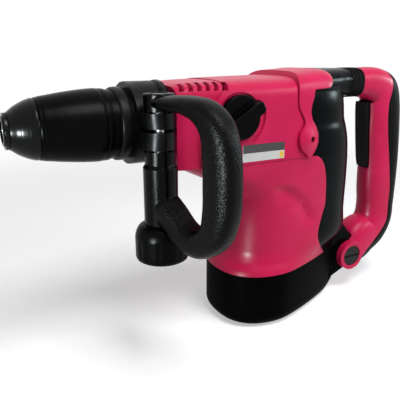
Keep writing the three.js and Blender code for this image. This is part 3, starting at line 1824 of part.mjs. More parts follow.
// A rod along the cord inlet's line, measured from the handle's lower corner
function inletRod(radius, from, to) {
  const rodShape = turned(rodProfile(radius, from, to), 20);
  return solid(place(
    rodShape.rotateZ(Math.PI / 2 + inletForm.turn).rotateX(Math.PI / 2),
    -inletBehind,
    0,
    inletHeight,
  ));
}

function cordInletBush() {
  const bush = turned(
    pipeProfile(inletForm.inner, inletForm.outer, inletForm.from, inletForm.from + inletForm.length),
    20,
  );
  return solid(place(
    bush.rotateZ(Math.PI / 2 + inletForm.turn).rotateX(Math.PI / 2),
    -inletBehind,
    0,
    inletHeight,
  ));
}

// A wire wound about the X axis
function woundSpring(radius, wire, from, to, turns, sides) {
  const steps = turns * windSteps;
  const start = from + wire;
  const run = to - from - 2 * wire;
  return loft(Array.from({ length: steps + 1 }, (_, k) => {
    const turn = (2 * Math.PI * k) / windSteps;
    const x = start + (run * k) / steps;
    return Array.from({ length: sides }, (__, i) => {
      const lean = (2 * Math.PI * i) / sides;
      const reach = radius + wire * Math.cos(lean);
      return new THREE.Vector3(x + wire * Math.sin(lean), reach * Math.cos(turn), reach * Math.sin(turn));
    });
  }));
}

// Mode knob on the left flank

function leverRing(aside, share) {
  return Array.from({ length: leverForm.points }, (_, i) => {
    const turn = (2 * Math.PI * i) / leverForm.points;
    const along = modeLever.reach * share * superpower(Math.cos(turn), leverForm.squareness);
    const over = modeLever.halfWidth * share * superpower(Math.sin(turn), leverForm.squareness);
    const tilt = Math.PI * (1 - modeLever.tiltShare);
    return new THREE.Vector3(
      modeKnob.ahead + along * Math.cos(tilt) - over * Math.sin(tilt),
      aside,
      axisHeight + modeKnob.above + along * Math.sin(tilt) + over * Math.cos(tilt),
    );
  });
}

function modeKnobBody() {
  const floor = housingHalfWidth - modeKnob.dishDepth + clearance;
  const face = floor + modeKnob.discHeight;
  const x = modeKnob.ahead;
  const z = axisHeight + modeKnob.above;
  const disc = turnedY([
    [0, floor],
    [modeKnob.radius, floor],
    [modeKnob.radius, face - leverForm.edge],
    [modeKnob.radius - leverForm.edge, face],
    [0, face],
  ], x, z, 24);
  const shaft = turnedY(
    rodProfile(modeLever.shaftRadius, floor - modeLever.inward, floor + clearance),
    x,
    z,
    12,
  );
  const bar = loft([
    leverRing(face - clearance, 1),
    leverRing(face + modeKnob.barHeight * leverForm.draftShare, leverForm.waistShare),
    leverRing(face + modeKnob.barHeight, leverForm.topShare),
  ]);
  return join(disc, shaft, bar);
}

// Assembly

const root = new THREE.Group();
root.name = 'rotary_hammer';

const hammerLine = new THREE.Group();
hammerLine.name = 'hammer_line';
hammerLine.position.z = axisHeight;
root.add(hammerLine);

const springLine = new THREE.Group();
springLine.name = 'spring_line';
springLine.position.z = bellowsMiddle;
root.add(springLine);

const crankLine = new THREE.Group();
crankLine.name = 'crank_line';
crankLine.position.x = crankAhead;
root.add(crankLine);

const layLine = new THREE.Group();
layLine.name = 'lay_line';
layLine.position.x = layAhead;
root.add(layLine);

const swingLine = new THREE.Group();
swingLine.name = 'swing_line';
swingLine.position.set(bolt.ahead, bolt.aside, axisHeight);
swingLine.rotation.z = THREE.MathUtils.degToRad(90 + loop.swing);
root.add(swingLine);

hammerLine.add(
  part('tool_holder', toolHolder(), steel),
  part('dust_cap', dustCap(), blackRubber),
  part('locking_sleeve', lockingSleeve(), blackPlastic),
  part('sleeve_spring', sleeveSpring(), steel),
  part('locking_roller_upper', lockingRoller(1), steel),
  part('locking_roller_lower', lockingRoller(-1), steel),
  part('holder_ring', holderRing(), blackAlloy),
  part('barrel', barrelBody(), blackAlloy),
  part('front_bearing', pocketRing(barrel.pocketRear + clearance, barrelForm.sealRear), steel),
  part('spindle_seal', pocketRing(barrelForm.sealRear + clearance, barrel.front - clearance), blackRubber),
  part('hammer_tube', hammerTube(), steel),
  part('piston', hammerPiston(), castAlloy),
  part('wrist_pin', wristPin(), steel),
  part('connecting_rod', connectingRod(), castAlloy),
  part('ram', strikingRam(), steel),
  part('beat_piece', beatPieceBody(), steel),
  part('bevel_gear', bevelWheel(), steel),
  part('clamp_upper', clampHalf(1), blackAlloy),
  part('clamp_lower', clampHalf(-1), blackAlloy),
  part('clamp_pin', clampPin(), steel),
);

springLine.add(
  part('handle_spring', woundSpring(
    handleSpring.radius,
    handleSpring.wire,
    clearance - bellowsRear - handleForm.faceGap,
    -collarRear - clearance,
    handleSpring.turns,
    4,
  ), steel),
);

crankLine.add(
  part('crank_shaft', crankShaft(), steel),
  part('crank_gear', spurGear(
    gearing.crankTeeth,
    0.5,
    crank.shaftRadius + clearance,
    crankBottom,
    crankTop,
  ), steel),
);

layLine.add(
  part('bevel_pinion', layShaft(), steel),
  part('intermediate_gear', spurGear(
    gearing.layTeeth,
    0.5,
    bearing.shaftRadius + clearance,
    layBottom,
    layTop,
  ), steel),
);

swingLine.add(
  part('side_handle', sideHandle(), blackPlastic),
  part('clamp_bolt', clampBolt(), steel),
  part('clamp_knob', clampKnob(), blackPlastic),
);

const gearHousing = gearHousingWhole();
const handleWhole = handleBlank();
const handleFront = handleWhole.intersect(across(handleFrontRegion()));

root.add(
  part('armature_shaft', armatureShaft(), steel),
  part('armature_core', armatureCore(), copper),
  part('cooling_fan', coolingFan(), blackPlastic),
  part('stator_core', statorCore(), darkSteel),
  part('field_coil_left', fieldCoil(1), copper),
  part('field_coil_right', fieldCoil(-1), copper),
  part('upper_bearing', bearingRing(plateBottom - plate.bossDrop + clearance), steel),
  part('lower_bearing', bearingRing(motor.lowerBearingBottom), steel),
  part('brush_holder', brushHolder(), blackPlastic),
  part('brush_front', carbonBrush(1), carbon),
  part('brush_rear', carbonBrush(-1), carbon),
  part('gear_plate', gearPlate(), castAlloy),
  part('gear_housing_left', sideHalf(gearHousing, 1), crimson),
  part('gear_housing_right', sideHalf(gearHousing, -1), crimson),
  part('motor_housing', motorHousing(), crimson),
  part('base_cap', baseCap(), blackPlastic),
  part('rear_cover', rearCover(), crimson),
  part('rear_boot', rearBoot(), blackRubber),
  part('mode_knob', modeKnobBody(), blackPlastic),
  part('rear_handle_left', sideHalf(handleFront, 1), crimson),
  part('rear_handle_right', sideHalf(handleFront, -1), crimson),
  part('rear_handle_grip', handleWhole.intersect(across(handleBackRegion())), blackRubber),
  part('trigger', triggerBody(), blackPlastic),
  part('switch', switchBody(), blackPlastic),
  part('pivot_pin', pivotPin(), darkSteel),
  part('handle_bellows', handleBellows(), blackRubber),
  part('cord_inlet_bush', cordInletBush(), blackRubber),
  part('cover_screw_left', coverScrew(1), darkSteel),
  part('cover_screw_right', coverScrew(-1), darkSteel),
);

screwPlaces().forEach(([x, y], i) => {
  root.add(part(`base_screw_${i + 1}`, baseScrew(x, y), darkSteel));
});

export default root;
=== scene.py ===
"""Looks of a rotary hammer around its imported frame: finishes, fittings, light and camera.

The scene is in metres, +Z up, +X towards the tool bit, +Y to the operator's left, as in the frame.
The fittings hold their sizes in millimetres.
"""

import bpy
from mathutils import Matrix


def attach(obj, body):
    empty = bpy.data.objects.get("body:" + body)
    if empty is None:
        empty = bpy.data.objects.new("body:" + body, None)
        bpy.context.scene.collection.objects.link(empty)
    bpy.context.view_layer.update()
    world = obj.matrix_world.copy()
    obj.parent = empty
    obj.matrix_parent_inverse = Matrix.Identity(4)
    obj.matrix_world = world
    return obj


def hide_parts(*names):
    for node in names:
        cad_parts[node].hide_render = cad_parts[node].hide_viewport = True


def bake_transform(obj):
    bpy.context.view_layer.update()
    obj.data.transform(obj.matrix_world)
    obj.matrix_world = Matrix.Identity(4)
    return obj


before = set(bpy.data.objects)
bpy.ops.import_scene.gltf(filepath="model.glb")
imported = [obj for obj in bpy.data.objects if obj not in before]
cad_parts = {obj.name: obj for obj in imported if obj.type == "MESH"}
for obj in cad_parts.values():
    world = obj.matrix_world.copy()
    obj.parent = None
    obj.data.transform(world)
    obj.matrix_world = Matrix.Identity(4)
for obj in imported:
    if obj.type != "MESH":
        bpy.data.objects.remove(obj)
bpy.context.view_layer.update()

import functools
import logging
import math
from dataclasses import dataclass
from enum import Enum
from typing import Callable, Mapping, Sequence, Union

import bmesh
import bpy
from mathutils import Matrix, Vector

log = logging.getLogger("rotary_hammer")

Colour = tuple[float, float, float]
Point = tuple[float, float, float]
Spot = tuple[float, float]
Rows = tuple[tuple[float, ...], ...]
Input = Union["Wire", float, Sequence[float], Vector]

METRE = 0.001
FAR = 400.0
PAST = 6.0
ORIGIN = (0.0, 0.0, 0.0)


def linear(red: int, green: int, blue: int) -> Colour:
    """Turns a screen colour, 0 to 255 a channel, into the scene's linear values."""
    shares = [level / 255 for level in (red, green, blue)]
    return tuple(s / 12.92 if s <= 0.04045 else ((s + 0.055) / 1.055) ** 2.4 for s in shares)


@dataclass(frozen=True)
class Wire:
    """A node's output that takes part in Python sums."""

    bench: "Bench"
    socket: bpy.types.NodeSocket

    def _math(self, operation: str, first: Input, second: Input) -> "Wire":
        """Adds one Math node and gives its result."""
        return self.bench.node("ShaderNodeMath", {"operation": operation}, {0: first, 1: second})

    def __add__(self, other: Input) -> "Wire":
        """Sum."""
        return self._math("ADD", self, other)

    def __radd__(self, other: Input) -> "Wire":
        """Sum with a number in front."""
        return self._math("ADD", other, self)

    def __sub__(self, other: Input) -> "Wire":
        """Difference."""
        return self._math("SUBTRACT", self, other)

    def __rsub__(self, other: Input) -> "Wire":
        """Difference from a number in front."""
        return self._math("SUBTRACT", other, self)

    def __mul__(self, other: Input) -> "Wire":
        """Product."""
        return self._math("MULTIPLY", self, other)

    def __rmul__(self, other: Input) -> "Wire":
        """Product with a number in front."""
        return self._math("MULTIPLY", other, self)

    def __truediv__(self, other: Input) -> "Wire":
        """Quotient."""
        return self._math("DIVIDE", self, other)

    def __rtruediv__(self, other: Input) -> "Wire":
        """Quotient of a number in front."""
        return self._math("DIVIDE", other, self)

    def __pow__(self, other: Input) -> "Wire":
        """Power."""
        return self._math("POWER", self, other)

    def __rpow__(self, other: Input) -> "Wire":
        """Power of a number in front."""
        return self._math("POWER", other, self)

    def __abs__(self) -> "Wire":
        """Size without its sign."""
        return self._math("ABSOLUTE", self, 0.0)

    def larger(self, other: Input) -> "Wire":
        """The larger of the two."""
        return self._math("MAXIMUM", self, other)

    def part(self) -> "Wire":
        """What is left after the whole number."""
        return self._math("FRACT", self, 0.0)

    def step(self, low: float, high: float) -> "Wire":
        """Goes smoothly from 0 at low to 1 at high, which may be the lower of the two."""
        settings = {"interpolation_type": "SMOOTHSTEP"}
        return self.bench.node("ShaderNodeMapRange", settings, {0: self, 1: low, 2: high})


class Bench:
    """One material's or world's nodes, with one way to add a node."""

    def __init__(self, holder: bpy.types.Material | bpy.types.World) -> None:
        """Finds the shader and the output that a new tree starts with.

        Args:
            holder: The new material or world.
        """
        holder.use_nodes = True
        self.holder, self.tree = holder, holder.node_tree
        self.out, self.shader = sorted(self.tree.nodes, key=lambda node: "Output" not in node.bl_idname)

    def plug(self, socket: bpy.types.NodeSocket, value: Input) -> None:
        """Links a wire to a socket, or sets the socket's value.

        Args:
            socket: The input to feed.
            value: A wire, a number or a row of numbers.
        """
        if isinstance(value, Wire):
            self.tree.links.new(value.socket, socket)
        elif isinstance(value, (int, float)):
            socket.default_value = value
        else:
            socket.default_value = (*value, *(1.0,) * (len(socket.default_value) - len(value)))

    def node(
        self,
        kind: str,
        settings: Mapping[str, object] | None = None,
        inputs: Mapping[int | str, Input] | None = None,
        output: int | str = 0,
    ) -> Wire:
        """Adds a node.

        Args:
            kind: The node's type.
            settings: Its settings, set first.
            inputs: Values or wires by socket.
            output: The socket to give back.

        Returns:
            The chosen output.
        """
        made = self.tree.nodes.new(kind)
        for key, value in (settings or {}).items():
            setattr(made, key, value)
        for key, value in (inputs or {}).items():
            self.plug(made.inputs[key], value)
        return Wire(self, made.outputs[output])

    def place(self, axis: int | None = None) -> Wire:
        """Gives the point on the piece in the frame's metres, or one of its coordinates."""
        where = self.node("ShaderNodeTexCoord", output="Object")
        return where if axis is None else self.node("ShaderNodeSeparateXYZ", inputs={0: where}, output=axis)

    def stretched(self, scale: Point) -> Wire:
        """Gives the point on the piece with each coordinate multiplied."""
        return self.node("ShaderNodeVectorMath", {"operation": "MULTIPLY"}, {0: self.place(), 1: scale})

    def noise(self, size: float, detail: float = 3.0, roughness: float = 0.5, at: Wire | None = None) -> Wire:
        """Gives soft noise from 0 to 1 with specks of that size in metres, where at says or on the piece."""
        inputs = {"Vector": at or self.place(), "Scale": 1 / size, "Detail": detail, "Roughness": roughness}
        return self.node("ShaderNodeTexNoise", inputs=inputs)

    def cells(self, size: float) -> Wire:
        """Gives the distance to the nearest point of a scatter with that spacing, in spacings."""
        return self.node("ShaderNodeTexVoronoi", inputs={"Vector": self.place(), "Scale": 1 / size})

    def mix(self, share: Input, low: Input, high: Input) -> Wire:
        """Mixes two colours, from the first at 0 to the second at 1."""
        return self.node("ShaderNodeMix", {"data_type": "RGBA"}, {0: share, 6: low, 7: high}, 2)

    def blend(self, share: Input, low: Wire, high: Wire) -> Wire:
        """Mixes two shaders, from the first at 0 to the second at 1."""
        return self.node("ShaderNodeMixShader", inputs={0: share, 1: low, 2: high})

    def bump(self, height: Wire, distance: float, strength: float, edge: float | None = None) -> Wire:
        """Turns a height into a normal.

        Args:
            height: Height in units of the distance.
            distance: How far a height of 1 stands, in metres.
            strength: Share of the effect.
            edge: Radius in metres by which the piece's edges look rounded.

        Returns:
            The normal.
        """
        inputs: dict[int | str, Input] = {"Height": height, "Distance": distance, "Strength": strength}
        if edge is not None:
            inputs["Normal"] = self.node("ShaderNodeBevel", {"samples": 4}, {"Radius": edge})
        return self.node("ShaderNodeBump", inputs=inputs)

    def scratches(self, scale: Point, thinness: float) -> Wire:
        """Gives 1 on thin marks, which run along the axis of the lowest scale, and 0 elsewhere."""
        ground = self.noise(1.0, 1.0, 0.4, self.stretched(scale))
        return abs(ground - 0.5).step(thinness, 0.0)

    def seen(self) -> Wire:
        """Gives 1 for rays from the camera and those mirrored or let through, else 0."""
        rays = ("Is Camera Ray", "Is Glossy Ray", "Is Transmission Ray")
        return functools.reduce(Wire.larger, [self.node("ShaderNodeLightPath", output=ray) for ray in rays])

    def paint(self, feeds: Mapping[str, Input]) -> bpy.types.Material:
        """Feeds the shader's sockets by name.

        Args:
            feeds: Wires for what changes over the surface, and numbers for what doesn't.

        Returns:
            The finished material.
        """
        for name, value in feeds.items():
            self.plug(self.shader.inputs[name], value)
        return self.holder

    def surface(self, shader: Wire) -> None:
        """Puts another shader in the place of the one that the tree started with."""
        self.tree.nodes.remove(self.shader)
        self.plug(self.out.inputs["Surface"], shader)


@dataclass(frozen=True)
class Finish:
    """A finish that a piece can have."""

    name: str

    def bench(self) -> Bench:
        """Starts the finish's material."""
        return Bench(bpy.data.materials.new(self.name))

    def make(self) -> bpy.types.Material:
        """Makes the material, which each kind of finish does in its own way."""
        raise NotImplementedError


@dataclass(frozen=True)
class Moulding(Finish):
    """A moulded plastic or rubber finish with grain, wear and a rounded edge."""

    colour: Colour
    shade: Colour
    worn: Colour
    roughness: float
    roughness_swing: float
    grain: float
    grain_depth: float
    edge: float = 0.0008
    wear: float = 0.35
    specular: float = 0.5
    cloud: float = 0.06
    mark_scale: Point = (34.0, 34.0, 420.0)
    mark_width: float = 0.012
    mark_field: float = 0.03
    scuff: float = 0.016

    def make(self) -> bpy.types.Material:
        """Makes the material.

        Returns:
            The finished material.
        """
        bench = self.bench()
        broad = bench.noise(self.cloud, 2.0)
        fine = bench.noise(self.grain, 4.0, 0.65)
        speck = bench.noise(self.grain * 3, 2.0)
        field = bench.noise(self.mark_field, 2.0).step(0.56, 0.7)
        marks = bench.scratches(self.mark_scale, self.mark_width) * field
        scuffs = bench.noise(self.scuff, 5.0, 0.7).step(0.66, 0.78)
        wear = (marks + scuffs * 0.5) * self.wear
        body = bench.mix(broad.step(0.3, 0.7), self.shade, self.colour)
        height = fine + (1.0 - marks) * 0.4
        return bench.paint({
            "Base Color": bench.mix(wear, body, self.worn),
            "Roughness": self.roughness + (speck - 0.5) * self.roughness_swing + wear * 0.25,
            "Normal": bench.bump(height, self.grain_depth, 0.5, self.edge),
            "Specular IOR Level": self.specular,
        })


@dataclass(frozen=True)
class PebbleRubber(Finish):
    """Rubber with a raised pebble grain; post is the centre and radius of a smooth upright part."""

    colour: Colour = linear(3, 3, 4)
    dust: Colour = linear(16, 20, 23)
    roughness: float = 0.36
    pebble: float = 0.0016
    depth: float = 0.00028
    edge: float = 0.001
    specular: float = 0.5
    post: Point | None = None
    post_edge: float = 0.0015
    dust_field: float = 0.05

    def smooth(self, bench: Bench) -> Input:
        """Finds the smooth post.

        Args:
            bench: Where the nodes go.

        Returns:
            1 on the post, if there is one, and 0 on the grip.
        """
        if self.post is None:
            return 0.0
        ahead, aside, radius = self.post
        across = (bench.place(0) - ahead) ** 2.0 + (bench.place(1) - aside) ** 2.0
        return (across**0.5).step(radius + self.post_edge, radius)

    def make(self) -> bpy.types.Material:
        """Makes the material.

        Returns:
            The finished material.
        """
        bench = self.bench()
        smooth = self.smooth(bench)
        pebbles = (1.0 - bench.cells(self.pebble).step(0.1, 0.75)) * (1.0 - smooth)
        fine = bench.noise(self.pebble * 0.4, 3.0, 0.6)
        film = bench.noise(self.dust_field).step(0.5, 0.8) * fine * 0.5
        return bench.paint({
            "Base Color": bench.mix(film, self.colour, self.dust),
            "Roughness": self.roughness + (fine - 0.5) * 0.14 - pebbles * 0.08 - smooth * 0.16,
            "Normal": bench.bump(pebbles + fine * 0.4, self.depth, 0.6, self.edge),
            "Specular IOR Level": self.specular,
        })


class Cut(Enum):
    """How a metal piece was finished, which sets how its marks run."""

    TURNED = (900.0, 40.0, 40.0)
    GROUND = (60.0, 60.0, 1200.0)
    CAST = (260.0, 260.0, 260.0)


@dataclass(frozen=True)
class Metal(Finish):
    """A metal finish with tool marks, tarnish and smears of grease."""

    colour: Colour
    tarnish: Colour
    roughness: float
    cut: Cut
    depth: float = 0.00002
    edge: float = 0.0004
    metallic: float = 1.0
    specular: float = 0.5
    patch: float = 0.012

    def make(self) -> bpy.types.Material:
        """Makes the material.

        Returns:
            The finished material.
        """
        bench = self.bench()
        lines = bench.noise(1.0, 3.0, 0.6, bench.stretched(self.cut.value))
        patches = bench.noise(self.patch, 4.0, 0.6).step(0.42, 0.7)
        return bench.paint({
            "Base Color": bench.mix(patches * 0.6, self.colour, self.tarnish),
            "Roughness": self.roughness + (lines - 0.5) * 0.2 + patches * 0.12,
            "Normal": bench.bump(lines, self.depth, 0.4, self.edge),
            "Metallic": self.metallic,
            "Specular IOR Level": self.specular,
        })


@dataclass(frozen=True)
class Winding(Finish):
    """Enamelled copper wire, laid in rows."""

    copper: Colour
    gap: Colour
    pitch: float = 0.0011
    wobble: float = 0.004
    depth: float = 0.0004

    def make(self) -> bpy.types.Material:
        """Makes the material.

        Returns:
            The finished material.
        """
        bench = self.bench()
        row = (bench.place(2) + bench.noise(self.wobble, 2.0) * self.pitch) / self.pitch
        wire = abs(row.part() - 0.5) * 2.0
        return bench.paint({
            "Base Color": bench.mix(wire.step(0.55, 1.0), self.copper, self.gap),
            "Roughness": 0.3 + wire * 0.3,
            "Normal": bench.bump(1.0 - wire, self.depth, 0.6),
            "Metallic": 0.8,
        })


@dataclass(frozen=True)
class PlateFilm(Finish):
    """Printed film under a clear coat."""

    colour: Colour
    dust: Colour = (0.4, 0.4, 0.4)
    speck: float = 0.004
    grain: float = 0.002

    def make(self) -> bpy.types.Material:
        """Makes the material.

        Returns:
            The finished material.
        """
        bench = self.bench()
        dust = bench.noise(self.speck, 4.0, 0.6).step(0.5, 0.8) * 0.12
        return bench.paint({
            "Base Color": bench.mix(dust, self.colour, self.dust),
            "Roughness": 0.22 + bench.noise(self.grain) * 0.16,
            "Coat Weight": 0.4,
        })


CRIMSON = Moulding(
    "crimson_shell", colour=linear(208, 28, 84), shade=linear(196, 22, 74), worn=linear(226, 92, 134),
    roughness=0.34, roughness_swing=0.1, grain=0.0005, grain_depth=0.00007, edge=0.0012, wear=0.25,
    specular=0.16,
)
SATIN_BLACK = Moulding(
    "satin_black", colour=linear(5, 6, 7), shade=linear(2, 3, 4), worn=linear(34, 38, 41),
    roughness=0.34, roughness_swing=0.12, grain=0.0006, grain_depth=0.00008, edge=0.001, specular=0.06,
)
GLOSS_BLACK = Moulding(
    "gloss_black", colour=linear(4, 5, 6), shade=linear(2, 2, 3), worn=linear(30, 36, 40),
    roughness=0.28, roughness_swing=0.1, grain=0.0008, grain_depth=0.00004, wear=0.25, specular=0.04,
)
NOSE_RUBBER = Moulding(
    "nose_rubber", colour=linear(6, 8, 8), shade=linear(3, 4, 5), worn=linear(34, 40, 42),
    roughness=0.2, roughness_swing=0.04, grain=0.0007, grain_depth=0.00001, wear=0.0, specular=0.13,
)
BASE_BLACK = Moulding(
    "base_black", colour=linear(4, 4, 5), shade=linear(2, 2, 2), worn=linear(22, 24, 25),
    roughness=0.5, roughness_swing=0.14, grain=0.0008, grain_depth=0.00014, edge=0.0014, specular=0.01,
)
BOOT_RUBBER = Moulding(
    "boot_rubber", colour=linear(3, 7, 9), shade=linear(1, 3, 4), worn=linear(38, 48, 52),
    roughness=0.22, roughness_swing=0.12, grain=0.0009, grain_depth=0.00009, edge=0.0014, wear=0.25,
    specular=0.03,
)
SEAL_RUBBER = Moulding(
    "seal_rubber", colour=linear(5, 6, 7), shade=linear(3, 3, 4), worn=linear(34, 38, 41),
    roughness=0.6, roughness_swing=0.14, grain=0.0007, grain_depth=0.0001, edge=0.001, specular=0.08,
)
GRIP_RUBBER = PebbleRubber("grip_rubber", specular=0.03)
LOOP_RUBBER = PebbleRubber("loop_rubber", specular=0.07, post=(0.141, 0.05, 0.0165))
COATED_ALLOY = Metal(
    "coated_alloy", linear(5, 6, 7), linear(11, 12, 14), roughness=0.32, cut=Cut.CAST, metallic=0.0,
    specular=0.1,
)
BRIGHT_STEEL = Metal(
    "bright_steel", linear(196, 199, 204), linear(128, 124, 118), roughness=0.26, cut=Cut.TURNED,
)
BLACK_STEEL = Metal(
    "black_steel", linear(17, 18, 19), linear(34, 30, 27), roughness=0.46, cut=Cut.GROUND, metallic=0.7,
)
CAST_ALLOY = Metal(
    "cast_alloy", linear(168, 170, 172), linear(122, 124, 126), roughness=0.5, cut=Cut.CAST, depth=0.00012,
)
COPPER_WIRE = Winding("copper_wire", copper=linear(188, 104, 54), gap=linear(74, 34, 18))
CARBON = Metal(
    "brush_carbon", linear(46, 46, 47), linear(30, 30, 31), roughness=0.7, cut=Cut.CAST, metallic=0.1,
)

DRESS: dict[Finish, str] = {
    CRIMSON: (
        "gear_housing_left gear_housing_right motor_housing rear_cover rear_handle_left rear_handle_right"
    ),
    SATIN_BLACK: "locking_sleeve clamp_knob cooling_fan brush_holder mode_knob trigger switch",
    BASE_BLACK: "base_cap",
    BOOT_RUBBER: "rear_boot",
    SEAL_RUBBER: "dust_cap spindle_seal cord_inlet_bush handle_bellows",
    GRIP_RUBBER: "rear_handle_grip side_handle",
    COATED_ALLOY: "barrel holder_ring clamp_upper clamp_lower",
    BRIGHT_STEEL: (
        "tool_holder sleeve_spring locking_roller_upper locking_roller_lower front_bearing hammer_tube "
        "wrist_pin ram beat_piece bevel_gear clamp_pin handle_spring crank_shaft crank_gear bevel_pinion "
        "intermediate_gear clamp_bolt armature_shaft upper_bearing lower_bearing"
    ),
    BLACK_STEEL: (
        "stator_core pivot_pin cover_screw_left cover_screw_right base_screw_1 base_screw_2 base_screw_3"
    ),
    CAST_ALLOY: "piston connecting_rod gear_plate",
    COPPER_WIRE: "armature_core field_coil_left field_coil_right",
    CARBON: "brush_front brush_rear",
}


@functools.cache
def material(finish: Finish) -> bpy.types.Material:
    """Makes a finish's material at its first use."""
    return finish.make()


def paint(piece: bpy.types.Object, finish: Finish) -> None:
    """Gives a piece one finish all over."""
    piece.data.materials.clear()
    piece.data.materials.append(material(finish))


def placed(name: str, data: bpy.types.ID) -> bpy.types.Object:
    """Puts a new object into the scene.

    Args:
        name: The object's name.
        data: Its mesh, lamp or camera.

    Returns:
        The object.
    """
    made = bpy.data.objects.new(name, data)
    bpy.context.scene.collection.objects.link(made)
    return made


def level_normals(piece: bpy.types.Object) -> None:
    """Evens out a piece's shading by the size of its faces."""
    weighted = piece.modifiers.new("weighted_normals", "WEIGHTED_NORMAL")
    weighted.keep_sharp = True


def dress_frame(angle: float = 30.0, weld: float = 0.000005) -> None:
    """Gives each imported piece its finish, and shades its facets smooth across shallow edges.

    Args:
        angle: Edges steeper than this many degrees stay sharp.
        weld: Distance in metres within which corners are one.
    """
    for finish, names in DRESS.items():
        for name in names.split():
            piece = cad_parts[name]
            paint(piece, finish)
            for held in ("custom_normal", "sharp_edge", "sharp_face"):
                if held in piece.data.attributes:
                    piece.data.attributes.remove(piece.data.attributes[held])
            piece.data.shade_smooth()
            piece.modifiers.new("weld", "WELD").merge_threshold = weld
            split = piece.modifiers.new("split", "EDGE_SPLIT")
            split.split_angle = math.radians(angle)
            split.use_edge_sharp = False
            level_normals(piece)
            log.info("%s is finished in %s", name, finish.name)


class Axis(Enum):
    """The line that a turned piece is turned about."""

    X = 0
    Y = 1
    Z = 2


def turns(count: int) -> list[float]:
    """Gives even turns round a circle."""
    return [2 * math.pi * i / count for i in range(count)]


def even(low: float, high: float, steps: int) -> list[float]:
    """Gives evenly spaced values, with both ends."""
    return [low + (high - low) * k / steps for k in range(steps + 1)]


def held(value: float) -> float:
    """Holds a share between 0 and 1."""
    return min(1.0, max(0.0, value))


def superpower(value: float, squareness: float) -> float:
    """Gives a signed power that squares a circle off as squareness rises above 2."""
    return math.copysign(abs(value) ** (2 / squareness), value)


def oval(wide: float, tall: float, squareness: float, count: int) -> list[Spot]:
    """Draws a squared-off oval round zero.

    Args:
        wide: Its half width.
        tall: Its half height.
        squareness: How far it is squared off.
        count: How many points it has.

    Returns:
        The points.
    """
    return [
        (wide * superpower(math.cos(turn), squareness), tall * superpower(math.sin(turn), squareness))
        for turn in turns(count)
    ]


def upright(along: float, middle: float, section: Sequence[Spot]) -> list[Point]:
    """Stands a section across X at a place on X, about a height."""
    return [(along, y, middle + z) for y, z in section]


def eased(rows: Sequence[Sequence[float]], at: float) -> list[float]:
    """Reads a table between its rows without overshooting them.

    Args:
        rows: Rows whose first number is the place, in rising order.
        at: The place to read.

    Returns:
        The other numbers of the row at that place.
    """
    places, *columns = zip(*rows)
    at = min(max(at, places[0]), places[-1])
    k = min(max(i for i, place in enumerate(places) if place <= at), len(rows) - 2)
    gaps = [b - a for a, b in zip(places, places[1:])]
    share = (at - places[k]) / gaps[k]
    square, cube = share**2, share**3
    read = []
    for values in columns:
        slopes = [(b - a) / gap for a, b, gap in zip(values, values[1:], gaps)]
        inner = [0.0 if a * b <= 0 else 2 * a * b / (a + b) for a, b in zip(slopes, slopes[1:])]
        leans = [slopes[0], *inner, slopes[-1]]
        value = (2 * cube - 3 * square + 1) * values[k] + (3 * square - 2 * cube) * values[k + 1]
        value += gaps[k] * ((cube - 2 * square + share) * leans[k] + (cube - square) * leans[k + 1])
        read.append(value)
    return read


@dataclass(frozen=True)
class Curve:
    """A smooth line through chosen points; pull is 0 for even steps and 0.5 for a taut line."""

    points: Rows
    pull: float = 0.0

    def at(self, share: float) -> tuple[Vector, Vector]:
        """Reads the line.

        Args:
            share: How far along the line, from 0 to 1.

        Returns:
            The point there and the line's heading.
        """
        spots = [Vector(point).to_3d() if len(point) < 3 else Vector(point) for point in self.points]
        spots = [2 * spots[0] - spots[1], *spots, 2 * spots[-1] - spots[-2]]
        run = share * (len(self.points) - 1)
        k = min(int(run), len(self.points) - 2)
        p0, p1, p2, p3 = spots[k : k + 4]
        d0, d1, d2 = (max((b - a).length, 1e-6) ** self.pull for a, b in ((p0, p1), (p1, p2), (p2, p3)))
        out = ((p1 - p0) / d0 - (p2 - p0) / (d0 + d1) + (p2 - p1) / d1) * d1
        into = ((p2 - p1) / d1 - (p3 - p1) / (d1 + d2) + (p3 - p2) / d2) * d1
        t = run - k
        spot = p1 * (2 * t**3 - 3 * t**2 + 1) + out * (t**3 - 2 * t**2 + t)
        spot = spot + p2 * (3 * t**2 - 2 * t**3) + into * (t**3 - t**2)
        heading = p1 * (6 * t**2 - 6 * t) + out * (3 * t**2 - 4 * t + 1)
        heading = heading + p2 * (6 * t - 6 * t**2) + into * (3 * t**2 - 2 * t)
        return spot, heading.normalized()

    def flat(self, steps: int) -> list[Spot]:
        """Gives the line's points in its first two numbers."""
        return [tuple(self.at(i / steps)[0][:2]) for i in range(steps + 1)]


def scaled(rows: Rows, *sizes: float) -> Rows:
    """Multiplies each column of a table by its own size."""
    return tuple(tuple(size * value for size, value in zip(sizes, row)) for row in rows)


def beside(points: Sequence[Spot], distance: float) -> list[Spot]:
    """Moves a line sideways, to the right of its own direction.

    Args:
        points: The line.
        distance: How far it moves; negative goes left.

    Returns:
        The moved line.
    """
    moved = []
    for i, (a, b) in enumerate(points):
        (a0, b0), (a1, b1) = points[max(0, i - 1)], points[min(len(points) - 1, i + 1)]
        run = math.hypot(a1 - a0, b1 - b0)
        moved.append((a + distance * (b1 - b0) / run, b - distance * (a1 - a0) / run))
    return moved


